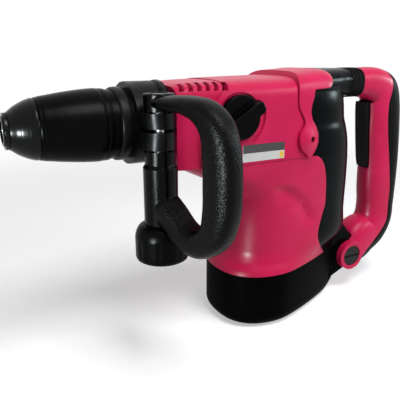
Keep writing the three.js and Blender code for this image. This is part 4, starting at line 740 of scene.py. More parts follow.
class Fitting:
    """A part of the tool, which shapes closed meshes in millimetres and hangs them on the frame."""

    def loft(self, rings: Sequence[Sequence[Point]], looped: bool = False) -> bpy.types.Object:
        """Skins rings of equal count and closes the ends.

        Args:
            rings: Rings of points.
            looped: Whether the last ring joins the first.

        Returns:
            The closed mesh.
        """
        mesh = bmesh.new()
        rows = [[mesh.verts.new(point) for point in ring] for ring in rings]
        for low, high in zip(rows, rows[1:] + rows[:1] if looped else rows[1:]):
            for i in range(len(low)):
                j = (i + 1) % len(low)
                mesh.faces.new((low[i], low[j], high[j], high[i]))
        if not looped:
            mesh.faces.new(rows[0][::-1])
            mesh.faces.new(rows[-1])
        bmesh.ops.remove_doubles(mesh, verts=mesh.verts, dist=0.0005)
        bmesh.ops.recalc_face_normals(mesh, faces=mesh.faces)
        data = bpy.data.meshes.new("blank")
        mesh.to_mesh(data)
        mesh.free()
        return placed("blank", data)

    def turned(
        self,
        profile: Sequence[Spot],
        axis: Axis,
        centre: Point = ORIGIN,
        segments: int = 96,
        wave: Callable[[float, int], float] = lambda turn, ring: 0.0,
    ) -> bpy.types.Object:
        """Turns a profile about an axis.

        Args:
            profile: Pairs of radius and distance along the axis; one that ends where it
                starts makes a ring.
            axis: The axis.
            centre: A point that the axis goes through.
            segments: Steps round it.
            wave: How far a point moves along the axis, by its turn and its place in the profile.

        Returns:
            The closed mesh.
        """
        looped = profile[0] == profile[-1]
        first, second = (axis.value + 1) % 3, (axis.value + 2) % 3
        rings = []
        for k, (radius, along) in enumerate(profile[:-1] if looped else profile):
            ring = []
            for turn in turns(segments):
                spot = list(centre)
                spot[axis.value] += along + wave(turn, k)
                spot[first] += radius * math.cos(turn)
                spot[second] += radius * math.sin(turn)
                ring.append(tuple(spot))
            rings.append(ring)
        return self.loft(rings, looped)

    def rod(
        self, radius: float, low: float, high: float, axis: Axis, centre: Point = ORIGIN, segments: int = 64
    ) -> bpy.types.Object:
        """Makes a round rod between two distances along an axis."""
        return self.turned([(0.0, low), (radius, low), (radius, high), (0.0, high)], axis, centre, segments)

    def swept(self, stops: Rows, squareness: float, steps: int, around: int) -> bpy.types.Object:
        """Sweeps a squared-off section along a line in the middle plane.

        Args:
            stops: Rows of X, Z, half height and half depth.
            squareness: How far the section is squared off.
            steps: Steps along the line.
            around: Points round the section.

        Returns:
            The closed bar.
        """
        path = Curve(tuple((a, 0.0, b) for a, b, _, _ in stops), 0.5)
        sizes = Curve(tuple((h, d, 0.0) for _, _, h, d in stops))
        rings = []
        for share in even(0.0, 1.0, steps):
            centre, heading = path.at(share)
            size = sizes.at(share)[0]
            section = oval(size.x, size.y, squareness, around)
            rings.append(
                [(centre.x - over * heading.z, deep, centre.z + over * heading.x) for over, deep in section]
            )
        return self.loft(rings)

    def slab(self, outline: Sequence[Spot], low: float = -FAR, high: float = FAR) -> bpy.types.Object:
        """Pushes an outline in X and Z along Y."""
        return self.loft([[(a, y, b) for a, b in outline] for y in (low, high)])

    def box(self, x: Spot, y: Spot, z: Spot) -> bpy.types.Object:
        """Makes a block between pairs of limits."""
        return self.slab([(x[0], z[0]), (x[1], z[0]), (x[1], z[1]), (x[0], z[1])], *y)

    def combine(
        self, body: bpy.types.Object, how: str, *tools: bpy.types.Object, crossed: bool = False
    ) -> bpy.types.Object:
        """Cuts, joins or meets a mesh with others, which are used up.

        Args:
            body: The mesh to work on.
            how: The kind of step, DIFFERENCE, UNION or INTERSECT.
            tools: The other meshes.
            crossed: Whether a mesh may run through itself.

        Returns:
            The worked mesh.
        """
        for tool in tools:
            step = body.modifiers.new("step", "BOOLEAN")
            step.operation = how
            step.object = tool
            step.solver = "EXACT"
            step.use_self = crossed
            mesh = bmesh.new()
            mesh.from_object(body, bpy.context.evaluated_depsgraph_get())
            body.modifiers.clear()
            bmesh.ops.remove_doubles(mesh, verts=mesh.verts, dist=0.002)
            bmesh.ops.dissolve_degenerate(mesh, edges=mesh.edges, dist=0.001)
            mesh.to_mesh(body.data)
            mesh.free()
            bpy.data.objects.remove(tool)
        return body

    def cut(self, body: bpy.types.Object, *tools: bpy.types.Object) -> bpy.types.Object:
        """Takes tools out of a mesh."""
        return self.combine(body, "DIFFERENCE", *tools)

    def join(self, body: bpy.types.Object, *tools: bpy.types.Object) -> bpy.types.Object:
        """Joins meshes into one."""
        return self.combine(body, "UNION", *tools)

    def keep(self, body: bpy.types.Object, *tools: bpy.types.Object) -> bpy.types.Object:
        """Keeps what a mesh shares with each tool."""
        return self.combine(body, "INTERSECT", *tools)

    def hang(
        self,
        body: bpy.types.Object,
        name: str,
        finish: Finish,
        rides: str | None,
        slot: str,
        instead: str | None = None,
        angle: float = 30.0,
    ) -> None:
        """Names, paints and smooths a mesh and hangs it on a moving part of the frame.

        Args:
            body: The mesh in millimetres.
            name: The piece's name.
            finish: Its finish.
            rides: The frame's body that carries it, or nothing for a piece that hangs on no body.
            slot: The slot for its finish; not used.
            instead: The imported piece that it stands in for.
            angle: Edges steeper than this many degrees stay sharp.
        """
        body.data.transform(Matrix.Scale(METRE, 4))
        body.name = name
        body.data.name = name
        paint(body, finish)
        body.data.shade_smooth()
        body.data.set_sharp_from_angle(angle=math.radians(angle))
        level_normals(body)
        if rides is not None:
            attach(body, rides)
        if instead is not None:
            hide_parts(instead)
        log.info("%s rides on %s", name, rides or "two parts")

    def skin(self, body: bpy.types.Object, node: str, finish: Finish, rides: str, slot: str) -> None:
        """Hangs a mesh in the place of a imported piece, under that piece's name."""
        self.hang(body, f"{node}_skin", finish, rides, slot, node)

    def halves(self, body: bpy.types.Object, split: float, node: str, rides: str) -> None:
        """Parts a crimson shell on the middle plane and hangs both halves.

        Args:
            body: The whole shell.
            split: Half the gap between the halves.
            node: What both packed halves' names start with.
            rides: The frame's body that carries them.
        """
        other = placed("blank", body.data.copy())
        for mesh, side, limits in ((body, "left", (split, FAR)), (other, "right", (-FAR, -split))):
            half = self.keep(mesh, self.box((-FAR, FAR), limits, (-10.0, FAR)))
            self.skin(half, f"{node}_{side}", CRIMSON, rides, "crimson_plastic")

    def stretch(
        self, body: bpy.types.Object, name: str, finish: Finish, slot: str, node: str, angle: float,
        parts: tuple[str, str], ends: tuple[Point, Point],
    ) -> None:
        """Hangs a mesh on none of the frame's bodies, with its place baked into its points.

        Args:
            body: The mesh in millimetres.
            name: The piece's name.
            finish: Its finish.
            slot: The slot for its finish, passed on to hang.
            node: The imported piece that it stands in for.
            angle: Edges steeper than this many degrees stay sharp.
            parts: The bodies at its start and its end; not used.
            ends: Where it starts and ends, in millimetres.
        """
        self.hang(body, name, finish, None, slot, node, angle)
        start, end = (tuple(METRE * value for value in point) for point in ends)
        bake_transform(body)


@dataclass(frozen=True)
class Groove:
    """A fine soft groove round a turned side; place and width are shares of the side's length."""

    place: float
    width: float
    depth: float

    def at(self, share: float) -> float:
        """Gives the groove's depth at a share of the side."""
        return self.depth * math.exp(-(((share - self.place) / self.width) ** 2))


@dataclass(frozen=True)
class Chuck(Fitting):
    """The turning tool holder's outer pieces, drawn about the hammer axis."""

    axis: float = 222.0
    tip: float = 259.5
    cap_length: float = 26.5
    cap_radius: float = 32.2
    holder_radius: float = 15.3
    mouth_radius: float = 9.9
    lip: float = 1.5
    sleeve_rear: float = 165.0
    sleeve_wall: float = 3.2
    skirt_length: float = 8.0
    skirt_radius: float = 30.7
    skirt_inner: float = 27.5
    skirt_step: float = 0.4
    sleeve_front: float = 232.7
    land: tuple[float, float, float, float] = (200.0, 204.0, 15.7, 19.7)
    land_front: float = 228.0
    ring_rear: float = 156.0
    ring_front: float = 166.5
    ring_radius: float = 32.9
    ring_depth: float = 8.0
    hub_radius: float = 21.0
    hub_height: float = 6.0
    bead: float = 2.2
    bead_squareness: float = 3.2
    cap_grooves: tuple[Groove, ...] = (Groove(0.3, 0.012, 0.08), Groove(0.52, 0.012, 0.08))
    sleeve_grooves: tuple[Groove, ...] = (Groove(0.09, 0.014, 0.5), Groove(0.955, 0.01, 0.3))
    cap_rows: Rows = (
        (0.0, 0.8), (0.03, 0.812), (0.2, 0.778), (0.42, 0.7), (0.62, 0.606), (0.765, 0.515), (0.93, 0.42),
        (1.0, 0.365),
    )
    sleeve_rows: Rows = (
        (0.0, 0.981), (0.15, 1.0), (0.32, 0.984), (0.6, 0.93), (0.82, 0.872), (0.985, 0.82), (1.0, 0.8),
    )

    def side(
        self, rows: Rows, grooves: Sequence[Groove], rear: float, front: float, steps: int
    ) -> list[Spot]:
        """Gives a grooved side's profile.

        Args:
            rows: Rows of place and radius, as shares.
            grooves: The grooves round it.
            rear: Where it starts on X.
            front: Where it ends.
            steps: Steps along it.

        Returns:
            Pairs of radius and place on X.
        """
        line = []
        for share in even(0.0, 1.0, steps):
            radius = self.cap_radius * eased(rows, share)[0] - sum(groove.at(share) for groove in grooves)
            line.append((radius, rear + (front - rear) * share))
        return line

    def spun(self, profile: Sequence[Spot]) -> bpy.types.Object:
        """Turns a profile about the hammer axis."""
        return self.turned(profile, Axis.X, (0.0, 0.0, self.axis))

    def cap(self) -> None:
        """Makes the dust cap with its rolled lip and two fine rings."""
        rear, lip = self.tip - self.cap_length, self.tip - self.lip
        profile = [
            (self.holder_radius, rear), *self.side(self.cap_rows, self.cap_grooves, rear, self.tip, 60),
            (self.mouth_radius, self.tip), (self.mouth_radius, lip), (self.holder_radius, lip),
            (self.holder_radius, rear),
        ]
        self.skin(self.spun(profile), "dust_cap", NOSE_RUBBER, "spindle", "black_rubber")

    def sleeve(self) -> None:
        """Makes the pull sleeve with its skirt, grip band and inner land."""
        rear, front, body_rear = self.sleeve_rear, self.sleeve_front, self.sleeve_rear + self.skirt_length
        mouth = self.cap_radius * self.sleeve_rows[-1][1] - self.sleeve_wall
        land_rear, web, bore, outer = self.land
        profile = [
            (self.skirt_radius, rear), (self.skirt_radius, body_rear - self.skirt_step),
            *self.side(self.sleeve_rows, self.sleeve_grooves, body_rear, front, 80), (mouth, front),
            (mouth, web), (outer, web), (outer, self.land_front), (bore, self.land_front), (bore, land_rear),
            (self.skirt_inner, land_rear), (self.skirt_inner, rear), (self.skirt_radius, rear),
        ]
        self.skin(self.spun(profile), "locking_sleeve", GLOSS_BLACK, "sleeve", "black_plastic")

    def ring(self) -> None:
        """Makes the ring behind the sleeve with a rounded bead."""
        rear, front, floor = self.ring_rear, self.ring_front, self.ring_front - self.ring_depth
        inner, step = self.skirt_radius + self.skirt_step, floor + self.hub_height
        bead = []
        for turn in even(-math.pi / 2, math.pi / 2, 12):
            out, along = (superpower(way(turn), self.bead_squareness) for way in (math.cos, math.sin))
            bead.append((self.ring_radius - self.bead * (1 - out), rear + (front - rear) / 2 * (1 + along)))
        profile = [
            (self.holder_radius, rear), *bead, (inner, front), (inner, floor), (self.hub_radius, floor),
            (self.hub_radius, step), (self.holder_radius, step), (self.holder_radius, rear),
        ]
        self.skin(self.spun(profile), "holder_ring", COATED_ALLOY, "spindle", "black_alloy")

    def build(self) -> None:
        """Makes the chuck's three outer pieces."""
        self.cap()
        self.sleeve()
        self.ring()


@dataclass(frozen=True)
class SideHandle(Fitting):
    """The closed side handle and the knob under it, drawn about their bolt."""

    spot: Point = (141.0, 50.0, 222.0)
    turn: float = 105.0
    reach: float = 73.4
    eye_top: float = 30.0
    eye_bottom: float = 15.9
    eye_edge: float = 0.8
    collar_top: float = -17.9
    collar_bottom: float = -29.0
    tube_bottom: float = -82.0
    tube_radius: float = 15.0
    lug_radius: float = 13.2
    neck: Rows = ((0.0, 0.3), (0.5, -1.0), (1.8, -3.0))
    depth: float = 12.5
    squareness: float = 2.5
    tooth: float = 0.8
    teeth: int = 10
    clear: float = 1.6
    knob_gap: float = 0.3
    knob_room: float = 2.0
    knob_radius: float = 23.8
    knob_height: float = 34.0
    knob_floor: float = 5.7
    flutes: int = 8
    flute_depth: float = 0.55
    flute_run: Spot = (0.3, 0.6)
    bolt_bore: float = 4.3
    head_bore: float = 7.8
    path: Rows = (
        (0, 0.75, 0.5, 0.98), (0.22, 0.77, 0.48, 1.02), (0.52, 0.755, 0.6, 1.04), (0.77, 0.6, 0.82, 1.04),
        (0.94, 0.2, 1.08, 1.02), (1, -0.45, 1.24, 1), (1.013, -1.2, 1.28, 1), (1, -1.93, 1.24, 1),
        (0.92, -2.54, 1.08, 1.02), (0.7, -2.93, 0.96, 1.04), (0.45, -2.83, 0.98, 1.04),
        (0.2, -2.4, 1.06, 1.04), (0, -2.05, 1.04, 1.04),
    )
    knob_rows: Rows = ((0, 0.66), (0.06, 0.84), (0.24, 0.97), (0.36, 1), (0.86, 1), (0.955, 0.95), (1, 0.8))

    def toothed(self, profile: Sequence[Spot], ring: int, height: float) -> bpy.types.Object:
        """Turns a piece with face teeth.

        Args:
            profile: The piece's profile.
            ring: The place in the profile that carries teeth.
            height: The teeth's height, with the sign of the side they point to.

        Returns:
            The closed mesh.
        """

        def wave(turn: float, place: int) -> float:
            """Gives the teeth's height at one point."""
            share = turn * self.teeth / (2 * math.pi) % 1
            return height * (1 - abs(2 * share - 1)) if place == ring else 0.0

        return self.turned(profile, Axis.Z, segments=80, wave=wave)

    def stood(self, made: bpy.types.Object) -> bpy.types.Object:
        """Turns a mesh drawn about the bolt and stands it in its place."""
        made.data.transform(Matrix.Translation(self.spot) @ Matrix.Rotation(math.radians(self.turn), 4, "Z"))
        return made

    def handle(self) -> None:
        """Makes the loop, its tube and both toothed eyes."""
        lug, tube, bottom = self.lug_radius, self.tube_radius, self.tube_bottom
        bar = self.swept(
            scaled(self.path, self.reach, self.eye_top, self.depth, self.depth), self.squareness, 110, 48
        )
        eye = [(0.0, self.eye_top), (lug - self.eye_edge, self.eye_top), (lug, self.eye_top - self.eye_edge)]
        eye += [(lug, self.eye_bottom), (0.0, self.eye_bottom)]
        collar = [(0.0, self.collar_bottom), (lug, self.collar_bottom), (lug, self.collar_top)]
        collar += [(0.0, self.collar_top)]
        neck = [(lug + out, self.collar_bottom + rise) for out, rise in self.neck]
        joined = self.join(
            bar,
            self.toothed(eye, 3, -self.tooth),
            self.toothed(collar, 2, self.tooth),
            self.turned([(0.0, neck[0][1]), *neck, (tube, bottom), (0.0, bottom)], Axis.Z),
        )
        made = self.cut(
            joined,
            self.rod(lug + PAST, self.collar_top + self.clear, self.eye_bottom - self.clear, Axis.Z),
            self.rod(self.knob_radius + self.knob_room, bottom - FAR, bottom, Axis.Z),
            self.rod(self.head_bore, self.eye_top - PAST, self.eye_top + PAST, Axis.Z),
            self.rod(self.bolt_bore, bottom - PAST, self.eye_top + PAST, Axis.Z, segments=32),
        )
        self.skin(self.stood(made), "side_handle", LOOP_RUBBER, "side_handle", "black_plastic")

    def knob(self) -> None:
        """Makes the clamp knob with shallow finger flutes."""
        top = self.tube_bottom - self.knob_gap
        start, run = self.flute_run
        rings = []
        for share in even(0.0, 1.0, 40):
            radius = self.knob_radius * eased(self.knob_rows, share)[0]
            flute = self.flute_depth * max(0.0, math.sin(math.pi * held((share - start) / run))) ** 0.6
            ring = []
            for turn in turns(144):
                out = radius - flute * max(0.0, math.cos(self.flutes * turn)) ** 4
                ring.append((out * math.cos(turn), out * math.sin(turn), top - self.knob_height * share))
            rings.append(ring)
        low = top - self.knob_height + self.knob_floor
        made = self.cut(self.loft(rings), self.rod(self.bolt_bore, low, top + PAST, Axis.Z, segments=32))
        self.skin(self.stood(made), "clamp_knob", GLOSS_BLACK, "clamp_knob", "black_plastic")

    def build(self) -> None:
        """Makes the handle and its knob."""
        self.handle()
        self.knob()


@dataclass(frozen=True)
class Shells(Fitting):
    """The moulded housings, which share their walls and the lines they part on."""

    gap: float = 0.3
    base_height: float = 59.5
    seam: float = 181.5
    axis: float = 222.0
    top: float = 262.0
    shoulder: float = 236.0
    front: float = 120.0
    reach: float = 118.0
    base_length: float = 58.0
    base_width: float = 52.0
    base_round: float = 14.0
    base_square: Spot = (2.46, 1.2)
    wall: float = 3.2
    boot_top: float = 252.0
    boot_width: float = 46.5
    boot_inset: float = 0.9
    boot_square: Spot = (3.0, 2.6)
    collar_reach: float = 102.0
    collar_height: float = 251.0
    collar_size: Spot = (22.0, 15.6)
    collar_square: float = 2.8
    pivot_behind: float = 124.6
    pivot_height: float = 43.9
    pivot_bore: float = 7.3
    lug: float = 15.5
    fork: float = 13.7
    toe: float = 14.0
    web_floor: float = 6.0
    motor_bore: float = 40.8
    motor_top: float = 169.0
    plate_floor: float = 168.7
    well: Spot = (41.0, 20.2)
    seat: Point = (13.3, 11.7, 30.0)
    around: int = 120
    easing: int = 10
    walls: Rows = (
        (0, 1, 1, 1, 2.46, 1.2), (0.045, 0.965, 0.985, 0.962, 2.46, 1.3), (0.1, 0.87, 0.98, 0.9, 2.4, 1.6),
        (0.2, 0.785, 1.0, 0.86, 2.4, 2.2), (0.42, 0.76, 0.958, 0.85, 2.4, 2.6),
        (0.66, 0.81, 0.954, 0.87, 2.5, 2.6), (0.78, 1.07, 0.949, 0.885, 2.8, 2.6),
        (0.89, 1.52, 0.942, 0.9, 3.4, 2.6), (1, 2, 0.928, 0.918, 4, 2.6),
    )
    motor_edge: Rows = (
        (-0.669, 0.309), (-0.576, 0.366), (-0.492, 0.413), (-0.436, 0.464), (-0.419, 0.507), (-0.425, 0.556),
        (-0.458, 0.631), (-0.483, 0.694), (-0.475, 0.771), (-0.462, 0.843), (-0.424, 0.926), (-0.373, 0.975),
        (-0.322, 0.998),
    )
    cover_rear: Rows = (
        (-0.235, 0.7), (-0.268, 0.723), (-0.292, 0.757), (-0.271, 0.801), (-0.224, 0.827), (-0.193, 0.862),
        (-0.199, 0.895), (-0.218, 0.924), (-0.225, 0.946), (-0.246, 0.95), (-0.377, 0.952), (-0.424, 0.96),
        (-0.458, 0.979), (-0.483, 1.004),
    )
    boot_rows: Rows = (
        (0, 0.928, 1.027), (0.16, 0.919, 1), (0.34, 0.893, 0.97), (0.46, 0.871, 0.93), (0.72, 0.852, 0.9),
        (0.92, 0.83, 0.84), (1, 0.77, 0.74),
    )
    tail_rows: Rows = (
        (0.75, 0), (1.02, 0), (1.026, 0.07), (1.01, 0.14), (0.96, 0.3), (0.9, 0.45), (0.75, 0.5),
    )
    collar_rows: Rows = ((0.55, 1.5, 1.06), (0.8, 1.2, 1.04), (0.94, 1, 1.02), (1, 0.95, 0.98))
    dent: Rows = ((5, 152), (-9, 146), (-24, 134), (-34, 120))
    dent_depth: float = 3.4
    dent_spread: Spot = (2.2, 13.0)
    dent_rear: Spot = (46.0, 14.0)
    dent_front: Spot = (18.0, 16.0)
    dent_beyond: float = 20.0

    def plan(self, height: float, sizes: Sequence[float], inset: float) -> list[Point]:
        """Gives a plan ring at one height, with the corners beside the motor axis rounded off.

        Args:
            height: The height.
            sizes: Reach ahead, reach behind, half width, squareness ahead and squareness behind.
            inset: How far the ring is drawn in.

        Returns:
            The ring's points.
        """
        ahead, behind, aside, square_ahead, square_behind = sizes
        ring = []
        for turn in turns(self.around):
            reach, square = (ahead, square_ahead) if math.cos(turn) > 0 else (behind, square_behind)
            x = (reach - inset) * superpower(math.cos(turn), square)
            ring.append((x, (aside - inset) * superpower(math.sin(turn), square), height))
        for _ in range(self.easing):
            ring = [
                tuple((a + 2 * b + c) / 4 for a, b, c in zip(ring[i - 1], spot, ring[(i + 1) % len(ring)]))
                for i, spot in enumerate(ring)
            ]
        return ring

    def wall_ring(self, height: float, inset: float) -> list[Point]:
        """Gives the motor wall's ring at a height.

        Args:
            height: The height.
            inset: How far the ring is drawn in.

        Returns:
            The ring's points.
        """
        share = (height - self.base_height) / (self.seam - self.base_height)
        ahead, behind, aside, *square = eased(self.walls, share)
        sizes = (self.base_length * ahead, self.reach * behind, self.base_width * aside, *square)
        return self.plan(height, sizes, inset)

    def dented(self, point: Point) -> Point:
        """Presses the thumb-like dent into a flank point.

        Args:
            point: The point.

        Returns:
            The point in its new place.
        """
        x, y, z = point
        if abs(y) <= self.dent_beyond:
            return point
        near, side = math.inf, 0.0
        for (xa, za), (xb, zb) in zip(self.dent, self.dent[1:]):
            run, to = Vector((xb - xa, zb - za)), Vector((x - xa, z - za))
            off = to - run * held(to.dot(run) / run.length_squared)
            if off.length < near:
                near, side = off.length, run.x * to.y - run.y * to.x
        (rear, rear_run), (front, front_run) = self.dent_rear, self.dent_front
        ends = held((x + rear) / rear_run) * held((front - x) / front_run)
        depth = self.dent_depth * math.exp(-((near / self.dent_spread[side >= 0]) ** 2)) * ends
        return x, y - math.copysign(depth, y), z

    def edges(self) -> tuple[list[Spot], list[Spot]]:
        """Gives the lines that the shells part on, seen from the flank.

        Returns:
            The motor housing's rear line and the cover's rear line.
        """
        cover = Curve(scaled(self.cover_rear, self.reach, self.top)).flat(15)
        cover.append((cover[-1][0], self.top + FAR))
        motor = Curve(scaled(self.motor_edge, self.reach, self.seam)).flat(48)
        return [*motor, cover[0]], cover

    def closed(self, edge: list[Spot], out: float) -> list[Spot]:
        """Closes an edge line into an outline that runs out to a place on X."""
        up = self.top + FAR
        return [*edge, (edge[-1][0], up), (out, up), (out, -PAST), (edge[0][0], -PAST)]

    def motor(self) -> None:
        """Makes the motor housing, hollow where the motor and the gear plate sit."""
        heights = even(self.base_height + self.gap, self.seam, 64)
        outer = self.loft([[self.dented(point) for point in self.wall_ring(z, 0.0)] for z in heights])
        bore = self.rod(self.motor_bore, self.base_height - PAST, self.motor_top, Axis.Z, segments=96)
        tops = (self.plate_floor, self.seam, self.seam + PAST)
        hollow = self.loft([self.wall_ring(z, self.wall) for z in tops])
        side = self.slab(self.closed(beside(self.edges()[0], self.gap / 2), self.front + FAR))
        made = self.keep(self.cut(outer, bore, hollow), side)
        self.skin(made, "motor_housing", CRIMSON, "housing", "crimson_plastic")

    def tail(self, foot: float, play: float = 0.0) -> list[Spot]:
        """Outlines the boot's tail over the base's lug.

        Args:
            foot: The height of its foot.
            play: Room to leave behind and over it.

        Returns:
            The outline.
        """
        rows = scaled(self.tail_rows, -self.pivot_behind, self.base_height)
        return [(x - play, foot + rise + (2 * play if rise > 0 else 0.0)) for x, rise in rows]

    def boot_body(self, inset: float, low: float, top: float) -> bpy.types.Object:
        """Makes the boot's plain body.

        Args:
            inset: How far it is drawn in.
            low: Where it starts.
            top: Where it ends.

        Returns:
            The closed mesh.
        """
        rings = [self.wall_ring(z, inset) for z in even(low, self.seam, 44)]
        for share in even(0.0, 1.0, 40)[1:]:
            z = self.seam + (self.boot_top - self.seam) * share
            if z <= top:
                behind, wide = eased(self.boot_rows, share)
                sizes = (self.base_length, self.reach * behind, self.boot_width * wide, *self.boot_square)
                rings.append(self.plan(z, sizes, inset))
        return self.loft(rings)

    def boot(self) -> None:
        """Makes the rear boot with its collar and tail."""
        foot, wall = self.base_height + self.gap, self.wall
        collar = []
        for at in even(self.collar_rows[0][0], 1.0, 24):
            wide, tall = (size * share for size, share in zip(self.collar_size, eased(self.collar_rows, at)))
            section = oval(wide, tall, self.collar_square, 72)
            collar.append(upright(-self.collar_reach * at, self.collar_height, section))
        skin = self.boot_body(self.boot_inset, foot, self.boot_top)
        tail = self.slab(self.tail(foot), -self.fork, self.fork)
        hollow = self.boot_body(self.boot_inset + wall, self.base_height + wall, self.boot_top - wall)
        motor, cover = self.edges()
        side = self.slab(self.closed(beside([*motor, *cover[1:]], -self.gap / 2), -self.reach - FAR))
        made = self.keep(self.cut(self.join(skin, self.loft(collar), tail), hollow), side)
        self.skin(made, "rear_boot", BOOT_RUBBER, "housing", "black_rubber")

    def base(self) -> None:
        """Makes the base cap with its rounded foot and the lug for the handle's pivot."""
        length, behind, lug = self.base_length, -self.pivot_behind, self.lug
        low, high = self.pivot_height - lug, self.pivot_height + lug
        sizes = (length, self.reach, self.base_width, *self.base_square)
        rings = [
            self.plan(self.base_round * (1 - math.cos(turn)), sizes, self.base_round * (1 - math.sin(turn)))
            for turn in even(0.0, math.pi / 2, 12)
        ]
        rings.append(self.plan(self.base_height, sizes, 0.0))
        toe = -length - self.toe
        web = [(-length, self.base_height), (behind, high - self.gap), (behind, low + self.gap)]
        web += [(toe, self.web_floor), (-length, self.web_floor)]
        under = [(toe, -PAST), (toe, 0.0), (behind - lug, low), (-FAR, low), (-FAR, -PAST)]
        pivot = (behind, 0.0, self.pivot_height)
        body = self.join(self.loft(rings), self.slab(web, -self.fork, self.fork))
        radius, floor = self.well
        body = self.cut(
            body,
            self.slab(under),
            self.rod(radius, floor, self.base_height + PAST, Axis.Z, segments=96),
            self.rod(*self.seat, Axis.Z),
        )
        body = self.join(body, self.rod(lug, -self.fork, self.fork, Axis.Y, pivot))
        made = self.cut(body, self.rod(self.pivot_bore, -FAR, FAR, Axis.Y, pivot))
        self.skin(made, "base_cap", BASE_BLACK, "housing", "black_plastic")

    def build(self) -> None:
        """Makes the motor housing, boot and base."""
        self.motor()
        self.boot()
        self.base()


@dataclass(frozen=True)
class Crown(Fitting):
    """The gear housing's halves and the rear cover, drawn as arches along the hammer axis."""

    shells: Shells
    foot: float = 181.8
    half_width: float = 48.0
    quarter: int = 22
    side_steps: int = 26
    split: float = 0.15
    knob: Point = (60.0, 0.0, 227.0)
    dish: Rows = ((0, 46.2), (21.7, 46.2), (22.5, 47), (22.8, 54), (0, 54))
    groove_radii: Spot = (29.0, 25.0)
    groove_turns: Spot = (2.75, 4.15)
    groove_floor: float = 46.0
    shaft_bore: float = 6.3
    mouth: float = 24.3
    mouth_depth: float = 9.2
    vents: int = 6
    vent_front: float = 113.0
    vent_pitch: float = 8.3
    vent: Rows = ((-0.2, 250.9), (4.0, 250.9), (1.0, 257.8), (-3.2, 257.8))
    vent_inner: float = 26.0
    outside: float = 54.0
    lip: float = 3.4
    hollow_stretch: Spot = (1.05, 1.08)
    screw: Point = (-24.5, 0.0, 200.0)
    screw_bore: Point = (3.2, 40.0, 60.0)
    boss: Point = (-19.0, 200.0, 4.0)
    boss_spread: Spot = (11.0, 13.0)
    boss_beyond: float = 30.0
    nose_rows: Rows = ((0.45, 0.905, 0.99), (0.85, 0.88, 0.985), (0.95, 0.86, 0.982), (1, 0.82, 0.976))
    flank_rows: Rows = ((-0.22, 1, 0.998), (0.3, 1, 0.994), (0.6, 0.995, 0.991), (0.84, 0.97, 0.984))
    panel: Rows = (
        (-0.25, 0.6), (0.79, 0.6), (0.815, 0.72), (0.81, 0.82), (0.755, 0.9), (0.67, 0.94), (0.61, 0.966),
        (0.597, 1.05), (-0.25, 1.05),
    )
    cavity_rows: Rows = ((-0.3, 1, 0.998), (0.55, 0.98, 0.991), (0.62, 0.905, 0.989), (0.972, 0.86, 0.982))
    cover_rows: Rows = (
        (-0.5, 0.79, 1.006), (-0.475, 0.875, 1.0155), (-0.43, 0.955, 1.021), (-0.36, 1, 1.0225),
        (-0.24, 1.02, 1.0185), (-0.1, 1.03, 1.0145), (0.02, 1.02, 1.0105),
    )
    cover_front: Rows = (
        (-21, 176), (-20.3, 184), (-14, 189), (-9.2, 197), (-9.6, 206), (-14, 213), (-15.2, 219),
        (-11.5, 226), (-7.8, 232), (-6.4, 240), (-6.6, 250), (-8.2, 259), (-12.5, 265), (-18, 271),
    )

    def arch(self, along: float, wide: float, top: float, squareness: float, foot: float) -> list[Point]:
        """Gives one upright arch.

        Args:
            along: Its place on X.
            wide: Its half width.
            top: Its height.
            squareness: How far its shoulders are squared off.
            foot: Where its sides start.

        Returns:
            The arch's points from one foot to the other.
        """
        shoulder = self.shells.shoulder
        side = even(foot, shoulder, self.side_steps)[:-1]
        ring = [(along, wide, z) for z in side]
        for i in range(2 * self.quarter + 1):
            half, share = divmod(i / self.quarter, 1.0)
            turn = math.pi / 2 * (half + share * share * (3 - 2 * share))
            over = wide * superpower(math.cos(turn), squareness)
            ring.append((along, over, shoulder + (top - shoulder) * superpower(math.sin(turn), squareness)))
        return ring + [(along, -wide, z) for z in reversed(side)]

    def vault(
        self,
        rows: Rows,
        squareness: float = 4,
        inset: float = 0.0,
        step: float = 3.0,
        stretch: float = 1.0,
        swollen: bool = False,
    ) -> bpy.types.Object:
        """Skins arches along the housing.

        Args:
            rows: Rows of reach, half width and height, as shares.
            squareness: How far the shoulders are squared off.
            inset: How far the arches are drawn in.
            step: Distance between arches.
            stretch: Multiplier on the rows' reach.
            swollen: Whether the flanks swell over the cover's screws.

        Returns:
            The closed mesh.
        """
        front = self.shells.front
        low, high = rows[0][0] * front, rows[-1][0] * front
        foot = self.foot - (PAST if inset else 0.0)
        rings = []
        for along in even(low, high, max(1, round((high - low) / step))):
            wide, tall = eased(rows, along / front)
            half, top = self.half_width * wide - inset, self.shells.top * tall - inset
            ring = self.arch(along * stretch, half, top, squareness, foot)
            rings.append([self.swell(point) for point in ring] if swollen else ring)
        return self.loft(rings)

    def swell(self, point: Point) -> Point:
        """Moves a flank point out over the cover's screw.

        Args:
            point: The point.

        Returns:
            The point in its new place.
        """
        x, y, z = point
        ahead, height, rise = self.boss
        wide, tall = self.boss_spread
        out = rise * math.exp(-(((x - ahead) / wide) ** 2) - ((z - height) / tall) ** 2)
        return (x, y + math.copysign(out, y), z) if abs(y) > self.boss_beyond else point

    def front_line(self, distance: float) -> list[Spot]:
        """Gives the line between the gear housing and the cover, moved sideways."""
        return beside(Curve(self.cover_front).flat(52), distance)

    def groove(self) -> list[Spot]:
        """Outlines the curved groove beside the mode knob.

        Returns:
            The outline.
        """
        ahead, _, height = self.knob
        leans = even(*self.groove_turns, 24)
        return [
            (ahead + radius * math.cos(t), height + radius * math.sin(t))
            for radius, run in zip(self.groove_radii, (leans, leans[::-1]))
            for t in run
        ]

